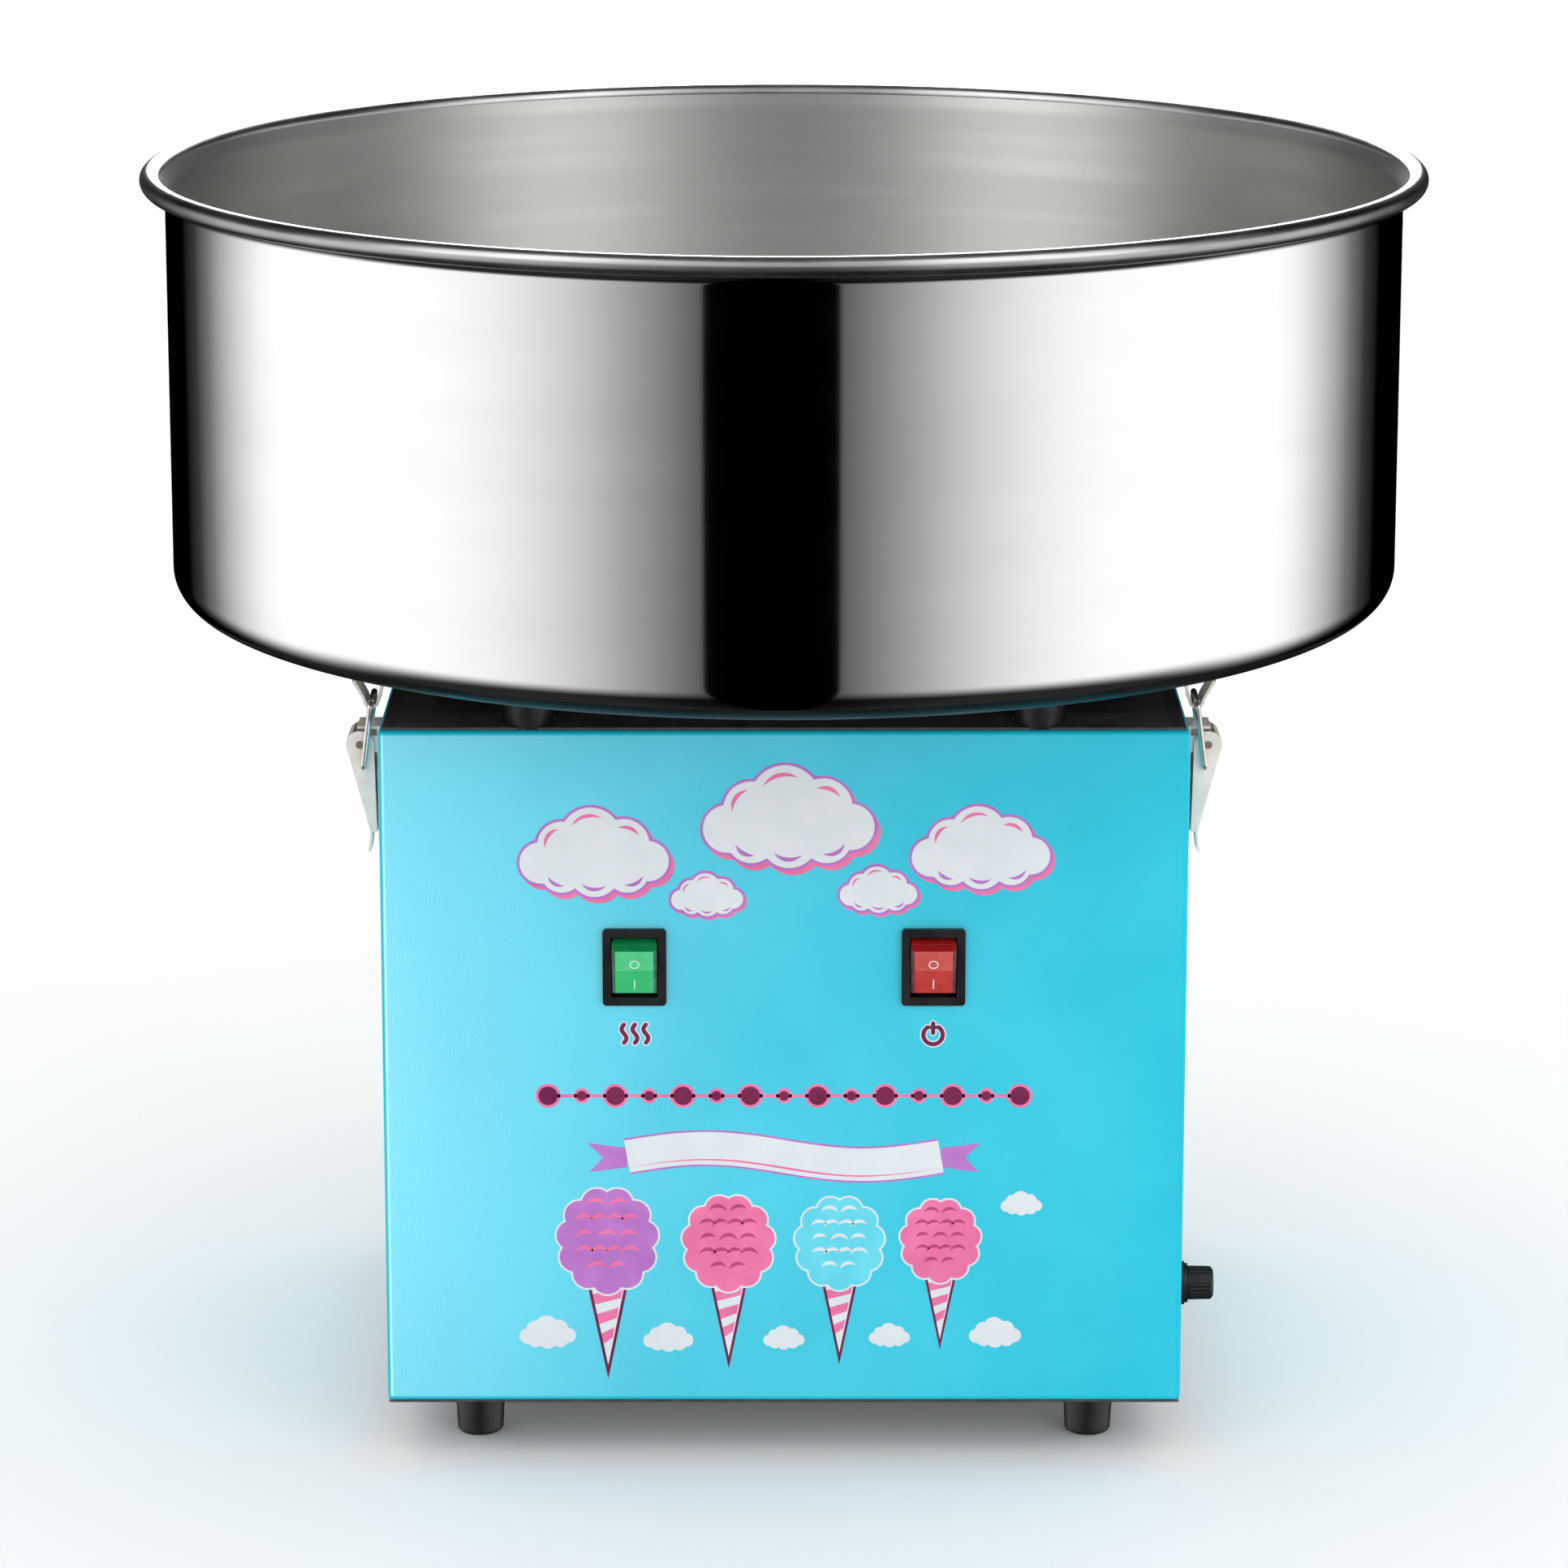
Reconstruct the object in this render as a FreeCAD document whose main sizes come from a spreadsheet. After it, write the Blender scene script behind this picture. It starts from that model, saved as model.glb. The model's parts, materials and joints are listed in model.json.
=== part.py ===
import FreeCAD, Part
import math
import os

import Sketcher
from FreeCAD import Placement, Rotation, Vector

# Cotton candy machine: a folded steel cabinet with the motor inside, a spinning heated head on
# the motor's shaft, and a wide spun-steel bowl that four toggle latches hold down on rubber posts.
# Millimetres. Origin on the ground under the middle of the cabinet, +Z up, front panel at -Y.

doc = FreeCAD.newDocument("cotton_candy_machine")
sheet = doc.addObject("Spreadsheet::Sheet", "dims")

DRIVING_SIZES = {
    "cabinet_width": 316,
    "cabinet_depth": 280,
    "foot_height": 24,
    "shell_top": 299,
    "gauge": 1.2,
    "flange_width": 16,
    "bend_radius": 2,
    "deck_gauge": 1,
    "deck_inset": 1.5,
    "deck_rim": 5.5,
    "deck_bevel": 13,
    "deck_rise": 2.5,
    "shaft_hole": 27,
    "foot_top_radius": 10.5,
    "foot_base_radius": 9.2,
    "foot_x": 123,
    "foot_y": 107,
    "post_radius": 10,
    "post_x": 99.5,
    "post_y": 129,
    "bowl_radius": 250,
    "bowl_floor": 327,
    "bowl_wall_top": 493,
    "bowl_gauge": 1,
    "bowl_corner": 14,
    "bead_radius": 4,
    "bead_ring_radius": 256,
    "bead_height": 499,
    "collar_radius": 80,
    "collar_height": 20,
    "switch_x": 58.6,
    "switch_z": 204,
    "bezel_width": 25,
    "bezel_height": 31,
    "bezel_proud": 2.2,
    "rocker_width": 17.6,
    "rocker_radius": 11.8,
    "rocker_tilt": 12,
    "pivot_depth": 4,
    "fuse_y": -110,
    "fuse_z": 63,
    "fuse_hole_radius": 6,
    "fuse_bore_radius": 4.9,
    "cap_radius": 6.8,
    "cap_length": 10,
    "inlet_x": -95,
    "inlet_z": 62,
    "latch_y": 118,
    "latch_out": 7.9,
    "latch_height": 290.1,
    "lever_width": 18,
    "lever_gauge": 1.2,
    "wire_radius": 1.2,
    "bar_out": 3.2,
    "bar_height": 307.6,
    "hook_radius": 2,
    "hook_gauge": 1.2,
    "hook_width": 15,
    "pin_radius": 1.5,
    "shaft_radius": 5,
    "motor_radius": 42,
    "motor_top": 197,
    "motor_base": 112,
    "bracket_height": 203,
    "bracket_gauge": 2,
    "ring_radius": 20,
    "head_radius": 62,
    "head_base": 345,
    "head_top": 383,
    "mouth_radius": 24,
}


class Size:
    """A length that keeps the sheet expression it was worked out from."""

    def __init__(self, value, text=None):
        self.value = float(value)
        self.text = text or f"({self.value:.6f})"

    def joined(self, other, sign, value):
        return Size(value, f"({self.text} {sign} {size_of(other).text})")

    def __add__(self, other):
        return self.joined(other, "+", self.value + size_of(other).value)

    def __sub__(self, other):
        return self.joined(other, "-", self.value - size_of(other).value)

    def __mul__(self, other):
        return self.joined(other, "*", self.value * size_of(other).value)

    def __truediv__(self, other):
        return self.joined(other, "/", self.value / size_of(other).value)

    def __radd__(self, other):
        return size_of(other) + self

    def __rsub__(self, other):
        return size_of(other) - self

    def __rmul__(self, other):
        return size_of(other) * self

    def __neg__(self):
        return size_of(0) - self


def size_of(value):
    return value if isinstance(value, Size) else Size(value)


class Dims:
    """The sheet's cells by name."""


dims = Dims()
for row, (alias, value) in enumerate(DRIVING_SIZES.items(), start=1):
    sheet.set(f"A{row}", alias)
    sheet.set(f"B{row}", str(value))
    sheet.setAlias(f"B{row}", alias)
    setattr(dims, alias, Size(value, f"dims.{alias}"))
doc.recompute()

half_width = dims.cabinet_width / 2
half_depth = dims.cabinet_depth / 2
front = -half_depth
RIVET_RADIUS = 1.5
RIVET_DROPS = (14, 34)
PANEL_SCREW_RADIUS = 1.8
PANEL_SCREW_MARGIN = 8
PANEL_SCREW_MIDDLE = 161
FOOT_SCREW_RADIUS = 2
DECK_SCREW_RADIUS = 1.9
DECK_SCREW_SPOTS = [(-83, -20), (-83, 20), (83, -20), (83, 20)]
HEAD_STUD_RADIUS = 2
HEAD_STUD_RING = 42.5
HEAD_FLOOR = 3
MOTOR_MOUNT = 24
MOTOR_MOUNT_BORE = 2.2
SWITCH_BOX_DEPTH = 23
FUSE_START = 28
LEAD_RADIUS = 2.2
SEAT_CLEARANCE = 0.3
STRIP_INSET = 88
INLET_PINS = {"live": (-7, -2), "neutral": (7, -2), "earth": (0, 2)}
INLET_HALF_WIDTH = 13.5
INLET_HALF_HEIGHT = 9.9
INLET_SCREW_SPREAD = 20
INLET_SCREW_RADIUS = 1.5
INLET_FLANGE = 3
CORNERS = {
    "front_left": (-1, -1),
    "front_right": (1, -1),
    "back_left": (-1, 1),
    "back_right": (1, 1),
}
pieces = []


# ---------------------------------------------------------------- helpers

def bind(thing, path, value):
    thing.setExpression(path, size_of(value).text)


def keep(piece, label):
    """Hand the finished sub-part in under its name."""
    piece.Label = label
    pieces.append(piece)
    return piece


def place(thing, x=0, y=0, z=0, rotation=None):
    thing.Placement = Placement(Vector(), rotation or Rotation())
    for axis, value in zip("xyz", (x, y, z)):
        bind(thing, f".Placement.Base.{axis}", value)
    return thing


def box(name, low, high):
    block = doc.addObject("Part::Box", name)
    for side, start, end in zip(("Length", "Width", "Height"), low, high):
        bind(block, side, size_of(end) - start)
    return place(block, *low)


TURNS = {
    "x": Rotation(Vector(0, 1, 0), 90),
    "y": Rotation(Vector(1, 0, 0), -90),
    "z": Rotation(),
}


def cylinder(name, radius, length, base, axis="z"):
    """A cylinder that runs from base along the positive axis."""
    rod = doc.addObject("Part::Cylinder", name)
    bind(rod, "Radius", radius)
    bind(rod, "Height", length)
    return place(rod, *base, rotation=TURNS[axis])


def joined(name, shapes, kind="Part::MultiFuse"):
    result = doc.addObject(kind, name)
    if kind == "Part::Compound":
        result.Links = shapes
    else:
        result.Shapes = shapes
    return result


def cut(name, base, *tools):
    result = doc.addObject("Part::Cut", name)
    result.Base = base
    result.Tool = tools[0] if len(tools) == 1 else joined(f"{name}_tools", list(tools))
    return result


def tube(name, outer, inner, length, base, axis="z"):
    bore = cylinder(f"{name}_bore", inner, length, base, axis)
    return cut(name, cylinder(f"{name}_outside", outer, length, base, axis), bore)


def new_body(name):
    return doc.addObject("PartDesign::Body", name)


def sketch_on(body, name, role, lift=0):
    """An empty sketch on one of the body's own origin planes, lifted along the plane's normal."""
    sketch = body.newObject("Sketcher::SketchObject", name)
    origin_plane = next(item for item in body.Origin.OriginFeatures if item.Role == role)
    sketch.AttachmentSupport = [(origin_plane, "")]
    sketch.MapMode = "FlatFace"
    bind(sketch, ".AttachmentOffset.Base.z", lift)
    return sketch


def pin_point(sketch, geometry, vertex, point):
    """Dimension one vertex from the sketch's origin."""
    for kind, value in zip(("DistanceX", "DistanceY"), point):
        value = size_of(value)
        number = sketch.addConstraint(
            Sketcher.Constraint(kind, -1, 1, geometry, vertex, value.value))
        sketch.setExpression(f"Constraints[{number}]", value.text)


def draw_outline(sketch, points):
    """A closed outline of straight lines through the points."""
    lines = []
    for start, end in zip(points, points[1:] + points[:1]):
        corners = [Vector(size_of(x).value, size_of(y).value, 0) for x, y in (start, end)]
        lines.append(sketch.addGeometry(Part.LineSegment(*corners), False))
    for line, following, point in zip(lines, lines[1:] + lines[:1], points):
        sketch.addConstraint(Sketcher.Constraint("Coincident", line, 2, following, 1))
        pin_point(sketch, line, 1, point)


def draw_circle(sketch, x, y, radius):
    x, y, radius = size_of(x), size_of(y), size_of(radius)
    centre = Vector(x.value, y.value, 0)
    circle = sketch.addGeometry(Part.Circle(centre, Vector(0, 0, 1), radius.value), False)
    pin_point(sketch, circle, 3, (x, y))
    number = sketch.addConstraint(Sketcher.Constraint("Radius", circle, radius.value))
    sketch.setExpression(f"Constraints[{number}]", radius.text)


def draw(sketch, shapes):
    for shape in shapes:
        if isinstance(shape, list):
            draw_outline(sketch, shape)
        else:
            draw_circle(sketch, *shape)


def rectangle(x0, y0, x1, y1):
    return [(x0, y0), (x1, y0), (x1, y1), (x0, y1)]


def pad(body, name, role, shapes, start, end):
    """Fill the shapes from start to end along the plane's global axis."""
    lift = -size_of(end) if role == "XZ_Plane" else start
    sketch = sketch_on(body, f"{name}_sketch", role, lift)
    draw(sketch, shapes)
    feature = body.newObject("PartDesign::Pad", name)
    feature.Profile = sketch
    bind(feature, "Length", size_of(end) - start)
    doc.recompute()
    return feature


def pocket(body, name, role, shapes, start, end):
    """Cut the shapes away from start to end along the plane's global axis."""
    before = body.Shape.Volume
    lift = -size_of(start) if role == "XZ_Plane" else end
    sketch = sketch_on(body, f"{name}_sketch", role, lift)
    draw(sketch, shapes)
    feature = body.newObject("PartDesign::Pocket", name)
    feature.Profile = sketch
    bind(feature, "Length", size_of(end) - start)
    doc.recompute()
    assert body.Shape.Volume < before, f"{name} cuts nothing"
    return feature


def revolve(body, name, shapes):
    """Turn the shapes, drawn as radius and height, once round the body's Z axis."""
    sketch = sketch_on(body, f"{name}_sketch", "XZ_Plane")
    draw(sketch, shapes)
    feature = body.newObject("PartDesign::Revolution", name)
    feature.Profile = sketch
    feature.ReferenceAxis = (sketch, ["V_Axis"])
    feature.Angle = 360
    doc.recompute()
    return feature


def edges_where(shape, wanted):
    """Names of the edges whose middle point satisfies wanted(point, edge)."""
    names = []
    for number, edge in enumerate(shape.Edges, start=1):
        middle = edge.valueAt((edge.FirstParameter + edge.LastParameter) / 2)
        if wanted(middle, edge):
            names.append(f"Edge{number}")
    return names


def round_edges(body, name, radius, wanted):
    base = body.Tip
    feature = body.newObject("PartDesign::Fillet", name)
    feature.Base = (base, edges_where(base.Shape, wanted))
    bind(feature, "Radius", radius)
    doc.recompute()
    return feature


def repeat_round(body, name, original, count):
    """Copies of the original feature, evenly spaced about the body's Z axis."""
    pattern = body.newObject("PartDesign::PolarPattern", name)
    pattern.Originals = [original]
    axis = next(item for item in body.Origin.OriginFeatures if item.Role == "Z_Axis")
    pattern.Axis = (axis, [""])
    pattern.Angle = 360
    pattern.Occurrences = count
    body.Tip = pattern
    doc.recompute()
    return pattern


def repeat_along(body, name, original, axis_role, length, count):
    pattern = body.newObject("PartDesign::LinearPattern", name)
    pattern.Originals = [original]
    axis = next(item for item in body.Origin.OriginFeatures if item.Role == axis_role)
    pattern.Direction = (axis, [""])
    bind(pattern, "Length", length)
    pattern.Occurrences = count
    body.Tip = pattern
    doc.recompute()
    return pattern


def moved(point, axis, distance):
    """The point shifted along one axis."""
    return tuple(
        size_of(value) + distance if letter == axis else value
        for letter, value in zip("xyz", point)
    )


def screw(name, point, toward, shank, head, head_height=2, length=8):
    """A pan-head screw with its head's outer face at point and its shank along toward, such as -y."""
    sign, axis = toward
    head_start = point if sign == "+" else moved(point, axis, -head_height)
    shank_shift = head_height if sign == "+" else -(head_height + length)
    return joined(name, [
        cylinder(f"{name}_head", head, head_height, head_start, axis),
        cylinder(f"{name}_shank", shank, length, moved(point, axis, shank_shift), axis),
    ])


def wire(name, points, radius, bends=()):
    """A round wire along straight runs joined by tangent arcs, as large as the runs allow."""
    corners = [Vector(*(size_of(value).value for value in point)) for point in points]
    edges = []
    start = corners[0]
    for number, (before, corner, after) in enumerate(zip(corners, corners[1:], corners[2:])):
        run_in = before - corner
        run_out = after - corner
        turn = math.pi - run_in.getAngle(run_out)
        widest = 0.45 * min(run_in.Length, run_out.Length) / math.tan(turn / 2)
        bend = bends[number] if bends else widest
        reach = bend * math.tan(turn / 2)
        first = corner + run_in.normalize() * reach
        last = corner + run_out.normalize() * reach
        inward = (run_in + run_out).normalize()
        middle = corner + inward * (bend / math.cos(turn / 2) - bend)
        edges.append(Part.LineSegment(start, first).toShape())
        edges.append(Part.Arc(first, middle, last).toShape())
        start = last
    edges.append(Part.LineSegment(start, corners[-1]).toShape())
    direction = (corners[1] - corners[0]).normalize()
    section = Part.Wire(Part.Circle(corners[0], direction, radius).toShape())
    core = doc.addObject("Part::Feature", name)
    core.Shape = Part.Wire(edges).makePipeShell([section], True, True)
    return core


# ---------------------------------------------------------------- cabinet

def cabinet_shell():
    """Front and both sides folded from one sheet, with flanges turned in at top and bottom."""
    body = new_body("cabinet_shell")
    back = half_depth - dims.gauge
    inner = half_width - dims.gauge
    walls = [
        (-half_width, front), (half_width, front), (half_width, back), (inner, back),
        (inner, front + dims.gauge), (-inner, front + dims.gauge), (-inner, back), (-half_width, back),
    ]
    lip = half_width - dims.flange_width
    flange = [
        (-half_width, front), (half_width, front), (half_width, back), (lip, back),
        (lip, front + dims.flange_width), (-lip, front + dims.flange_width), (-lip, back),
        (-half_width, back),
    ]
    pad(body, "walls", "XY_Plane", [walls], dims.foot_height, dims.shell_top)
    pad(body, "top_flange", "XY_Plane", [flange], dims.shell_top - dims.gauge, dims.shell_top)
    pad(body, "bottom_flange", "XY_Plane", [flange], dims.foot_height, dims.foot_height + dims.gauge)
    round_edges(
        body, "bends", dims.bend_radius,
        lambda point, edge: (
            abs(abs(point.x) - half_width.value) < 0.01 and abs(point.y - front.value) < 0.01
            or abs(point.y - front.value) < 0.01 and edge.Length > 300
            or abs(abs(point.x) - half_width.value) < 0.01 and edge.Length > 270
            and (abs(point.z - dims.shell_top.value) < 0.01 or abs(point.z - dims.foot_height.value) < 0.01)
        ),
    )
    cover = 1.4
    half_w = dims.bezel_width / 2 - cover
    half_h = dims.bezel_height / 2 - cover
    for name, side in (("heater_cutout", -1), ("power_cutout", 1)):
        centre = side * dims.switch_x
        window = rectangle(
            centre - half_w, dims.switch_z - half_h, centre + half_w, dims.switch_z + half_h)
        pocket(body, name, "XZ_Plane", [window], front - 1, front + 3)
    rivet_holes = [
        (end * dims.latch_y, dims.latch_height - drop, RIVET_RADIUS)
        for end in (-1, 1) for drop in RIVET_DROPS
    ]
    fuse_hole = (dims.fuse_y, dims.fuse_z, dims.fuse_hole_radius)
    pocket(body, "left_holes", "YZ_Plane", rivet_holes, -half_width - 1, -inner + 1)
    pocket(body, "right_holes", "YZ_Plane", [*rivet_holes, fuse_hole], inner - 1, half_width + 1)
    return keep(body, "cabinet_shell")


def panel_screw_spots():
    margin = PANEL_SCREW_MARGIN
    rows = (dims.foot_height + margin, PANEL_SCREW_MIDDLE, dims.shell_top - margin)
    return [(side * (half_width - margin), row) for side in (-1, 1) for row in rows]


def back_panel():
    """Flat rear cover with two banks of cooling slots and the power inlet's cut-out."""
    body = new_body("back_panel")
    cover = rectangle(-half_width, dims.foot_height, half_width, dims.shell_top)
    inside = half_depth - dims.gauge
    pad(body, "plate", "XZ_Plane", [cover], inside, half_depth)
    inlet = rectangle(
        dims.inlet_x - INLET_HALF_WIDTH, dims.inlet_z - INLET_HALF_HEIGHT,
        dims.inlet_x + INLET_HALF_WIDTH, dims.inlet_z + INLET_HALF_HEIGHT)
    screw_holes = [
        (dims.inlet_x + side * INLET_SCREW_SPREAD, dims.inlet_z, INLET_SCREW_RADIUS) for side in (-1, 1)]
    screw_holes += [(x, z, PANEL_SCREW_RADIUS) for x, z in panel_screw_spots()]
    pocket(body, "cutouts", "XZ_Plane", [inlet, *screw_holes], inside - 1, half_depth + 1)
    slot_length, slot_height, slot_level, bank_height = 80, 5, 200, 48
    for name, left in (("left_vent", -110), ("right_vent", 30)):
        slot = rectangle(left, slot_level, left + slot_length, slot_level + slot_height)
        cut_slot = pocket(body, name, "XZ_Plane", [slot], inside - 1, half_depth + 1)
        repeat_along(body, f"{name}_bank", cut_slot, "Z_Axis", bank_height, 5)
    return keep(body, "back_panel")


def base_plate():
    """Floor of the cabinet, lying on the bottom flanges, with air slots."""
    body = new_body("base_plate")
    inset = dims.gauge + SEAT_CLEARANCE
    side = half_width - inset
    level = dims.foot_height + dims.gauge
    outline = rectangle(-side, front + inset, side, half_depth - inset)
    pad(body, "plate", "XY_Plane", [outline], level, level + dims.gauge)
    slot_half, slot_front, slot_width = 60, -40, 5
    slot = rectangle(-slot_half, slot_front, slot_half, slot_front + slot_width)
    cut_slot = pocket(body, "air_slot", "XY_Plane", [slot], level - 1, level + 3)
    repeat_along(body, "air_slots", cut_slot, "Y_Axis", 75, 6)
    foot_holes = [
        (x_sign * dims.foot_x, y_sign * dims.foot_y, FOOT_SCREW_RADIUS)
        for x_sign, y_sign in CORNERS.values()
    ]
    pocket(body, "foot_holes", "XY_Plane", foot_holes, level - 1, level + 3)
    return keep(body, "base_plate")


def deck_plate():
    """Pressed top cover: a flat rim, a mitred bevel and a raised middle round the shaft hole."""
    body = new_body("deck_plate")
    post_clearance = 0.15
    side = half_width - dims.deck_inset
    end = half_depth - dims.deck_inset
    floor = dims.shell_top
    rim_top = floor + dims.deck_gauge
    pad(body, "rim", "XY_Plane", [rectangle(-side, -end, side, end)], floor, rim_top)
    foot_x, foot_y = side - dims.deck_rim, end - 1
    top_x, top_y = foot_x - dims.deck_bevel, foot_y - dims.deck_bevel
    for name, kind, drop in (("rise", "AdditiveLoft", 0), ("hollow", "SubtractiveLoft", 1)):
        low = sketch_on(body, f"{name}_foot", "XY_Plane", rim_top - drop * dims.deck_gauge)
        draw(low, [rectangle(-foot_x, -foot_y, foot_x, foot_y)])
        high = sketch_on(
            body, f"{name}_top", "XY_Plane", rim_top + dims.deck_rise - drop * dims.deck_gauge)
        draw(high, [rectangle(-top_x, -top_y, top_x, top_y)])
        loft = body.newObject(f"PartDesign::{kind}", name)
        loft.Profile = low
        loft.Sections = [high]
        doc.recompute()
    holes = [(0, 0, dims.shaft_hole)]
    holes += [(x, y, DECK_SCREW_RADIUS) for x, y in DECK_SCREW_SPOTS]
    for x_sign, y_sign in CORNERS.values():
        holes.append((x_sign * dims.post_x, y_sign * dims.post_y, dims.post_radius + post_clearance))
    pocket(body, "holes", "XY_Plane", holes, floor - 1, rim_top + dims.deck_rise + 1)
    return keep(body, "deck_plate")


def rubber_foot(corner, x_sign, y_sign):
    """Tapered foot with a recess for its screw's head, up through the shell's bottom flange."""
    body = new_body(f"foot_{corner}")
    bore, recess, recess_depth = FOOT_SCREW_RADIUS, 4.4, 8
    top, lip = dims.foot_height + dims.gauge, 1.2
    base = dims.foot_base_radius
    profile = [
        (bore, recess_depth), (recess, recess_depth), (recess, 0), (base - lip, 0), (base, lip),
        (base, 2 * lip), (base - 0.4, 3 * lip), (dims.foot_top_radius, top - lip),
        (dims.foot_top_radius - lip, top), (bore, top),
    ]
    revolve(body, "turned", [profile])
    place(body, x_sign * dims.foot_x, y_sign * dims.foot_y)
    return keep(body, f"foot_{corner}")


def foot_screws():
    """Screws up through the feet into the base plate."""
    head, head_height, head_face = 3.9, 2.4, 5.6
    screws = [
        screw(f"foot_screw_{corner}", (x_sign * dims.foot_x, y_sign * dims.foot_y, head_face), "+z",
              FOOT_SCREW_RADIUS, head, head_height, dims.foot_height - 2)
        for corner, (x_sign, y_sign) in CORNERS.items()
    ]
    return keep(joined("foot_screws", screws, "Part::Compound"), "foot_screws")


def bowl_posts():
    """Rubber posts through the deck, standing on the shell's flange, that carry the bowl."""
    posts = []
    edge = 0.8
    height = dims.bowl_floor - dims.shell_top
    for corner, (x_sign, y_sign) in CORNERS.items():
        body = new_body(f"post_{corner}")
        profile = [
            (0, 0), (dims.post_radius, 0), (dims.post_radius, height - edge),
            (dims.post_radius - edge, height), (0, height),
        ]
        revolve(body, f"post_{corner}_turned", [profile])
        place(body, x_sign * dims.post_x, y_sign * dims.post_y, dims.shell_top)
        posts.append(body)
    return keep(joined("bowl_posts", posts, "Part::Compound"), "bowl_posts")


# ---------------------------------------------------------------- switches, fuse and inlet

PANEL_SWITCHES = {"heater": -1, "power": 1}
WINDOW_CLEARANCE = 0.4


def switch_housing(name, side):
    """Snap-in housing: a bezel in front of the panel and a box behind it, open for the rocker."""
    body = new_body(f"{name}_switch_housing")
    centre = side * dims.switch_x
    half_w, half_h = dims.bezel_width / 2, dims.bezel_height / 2

    def window(inset_x, inset_z):
        return rectangle(
            centre - half_w + inset_x, dims.switch_z - half_h + inset_z,
            centre + half_w - inset_x, dims.switch_z + half_h - inset_z)

    pad(body, "bezel", "XZ_Plane", [window(0, 0)], front - dims.bezel_proud, front)
    step = 1.6
    round_edges(
        body, "bezel_corners", step,
        lambda point, edge: abs(edge.Length - dims.bezel_proud.value) < 0.01)
    pad(body, "box", "XZ_Plane", [window(step, step)], front, front + SWITCH_BOX_DEPTH)
    opening_x = dims.rocker_width / 2 + WINDOW_CLEARANCE
    opening_z = dims.rocker_radius + WINDOW_CLEARANCE
    opening = window(half_w - opening_x, half_h - opening_z)
    well = 17
    pocket(body, "opening", "XZ_Plane", [opening], front - dims.bezel_proud - 1, front + well)
    return keep(body, f"{name}_switch_housing")


def rocker(name, side):
    """A see-saw key: round ends about its pivot and a face that dips in the middle."""
    depth = front + dims.pivot_depth
    face_end, face_middle, below = 7.5, 6.1, 3
    half_chord = 9.1
    length = dims.rocker_width
    barrel = cylinder(f"{name}_barrel", dims.rocker_radius, length, (-length / 2, 0, 0), "x")
    blank = new_body(f"{name}_blank")
    reach = 12
    slope = (face_end - face_middle) / half_chord
    crest = -face_end - (reach - half_chord) * slope
    outline = [(crest, -reach), (-face_middle, 0), (crest, reach), (below, reach), (below, -reach)]
    pad(blank, f"{name}_blank_pad", "YZ_Plane", [outline], -length / 2, length / 2)
    key = joined(f"{name}_rocker", [blank, barrel], "Part::MultiCommon")
    tilt = Rotation(Vector(1, 0, 0), dims.rocker_tilt.value)
    place(key, side * dims.switch_x, depth, dims.switch_z, tilt)
    return keep(key, f"{name}_rocker")


def switch_terminals():
    """Brass tabs at the back of both switches."""
    start = front + SWITCH_BOX_DEPTH
    half_w, half_t, length = 2.4, 0.4, 9
    tabs = []
    for name, side in PANEL_SWITCHES.items():
        for row in (-8, 0, 8):
            for column in (-5, 5):
                x = side * dims.switch_x + column
                z = dims.switch_z + row
                tabs.append(box(
                    f"{name}_tab", (x - half_w, start, z - half_t),
                    (x + half_w, start + length, z + half_t)))
    return keep(joined("switch_terminals", tabs, "Part::Compound"), "switch_terminals")


def fuse_holder():
    """Round panel-mount holder through the right side wall, with a two-step flange outside."""
    centre = (half_width, dims.fuse_y, dims.fuse_z)
    flange_radius, flange, collar_radius, collar = 8.7, 3, 7.9, 4.3
    barrel, end_wall = 34, 3
    bore_depth = barrel - end_wall
    steps = joined("fuse_holder_solid", [
        cylinder("fuse_flange", flange_radius, flange, centre, "x"),
        cylinder("fuse_collar", collar_radius, collar, centre, "x"),
        cylinder("fuse_barrel", dims.fuse_hole_radius, barrel, moved(centre, "x", -barrel), "x"),
    ])
    bore = cylinder(
        "fuse_bore", dims.fuse_bore_radius, bore_depth + 9, moved(centre, "x", -bore_depth), "x")
    return keep(cut("fuse_holder", steps, bore), "fuse_holder")


def fuse_nut():
    """Ring nut behind the side wall."""
    radius, thick = 8.6, 4
    start = (half_width - dims.gauge - thick, dims.fuse_y, dims.fuse_z)
    ring = tube("fuse_nut", radius, dims.fuse_hole_radius, thick, start, "x")
    return keep(ring, "fuse_nut")


def fuse_tube():
    """Glass fuse link with its end caps, carried in the holder's cap."""
    radius, length = 3.1, 30
    start = (half_width - FUSE_START, dims.fuse_y, dims.fuse_z)
    return keep(cylinder("fuse_tube", radius, length, start, "x"), "fuse_tube")


def fuse_cap():
    """Knurled cap that turns to release and draws the fuse out with it."""
    body = new_body("fuse_cap")
    skirt, stem, socket_radius = 4.6, 9, 3.2
    taper, corner, corner_height = 0.2, 1.4, 1
    flute_ring, flute_radius, plain_band = 0.25, 0.6, 0.8
    sunk = 4.4
    face = stem + dims.cap_length
    grip = [
        (0, 0), (skirt, 0), (skirt, stem), (dims.cap_radius, stem),
        (dims.cap_radius - taper, face - corner_height), (dims.cap_radius - corner, face), (0, face),
    ]
    revolve(body, "grip", [grip])
    pocket(body, "fuse_socket", "XY_Plane", [(0, 0, socket_radius)], -1, stem - 1)
    groove = (dims.cap_radius + flute_ring, 0, flute_radius)
    flute = pocket(body, "flute", "XY_Plane", [groove], stem + plain_band, face + 1)
    repeat_round(body, "knurl", flute, 24)
    place(body, half_width - sunk, dims.fuse_y, dims.fuse_z, TURNS["x"])
    return keep(body, "fuse_cap")


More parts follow.
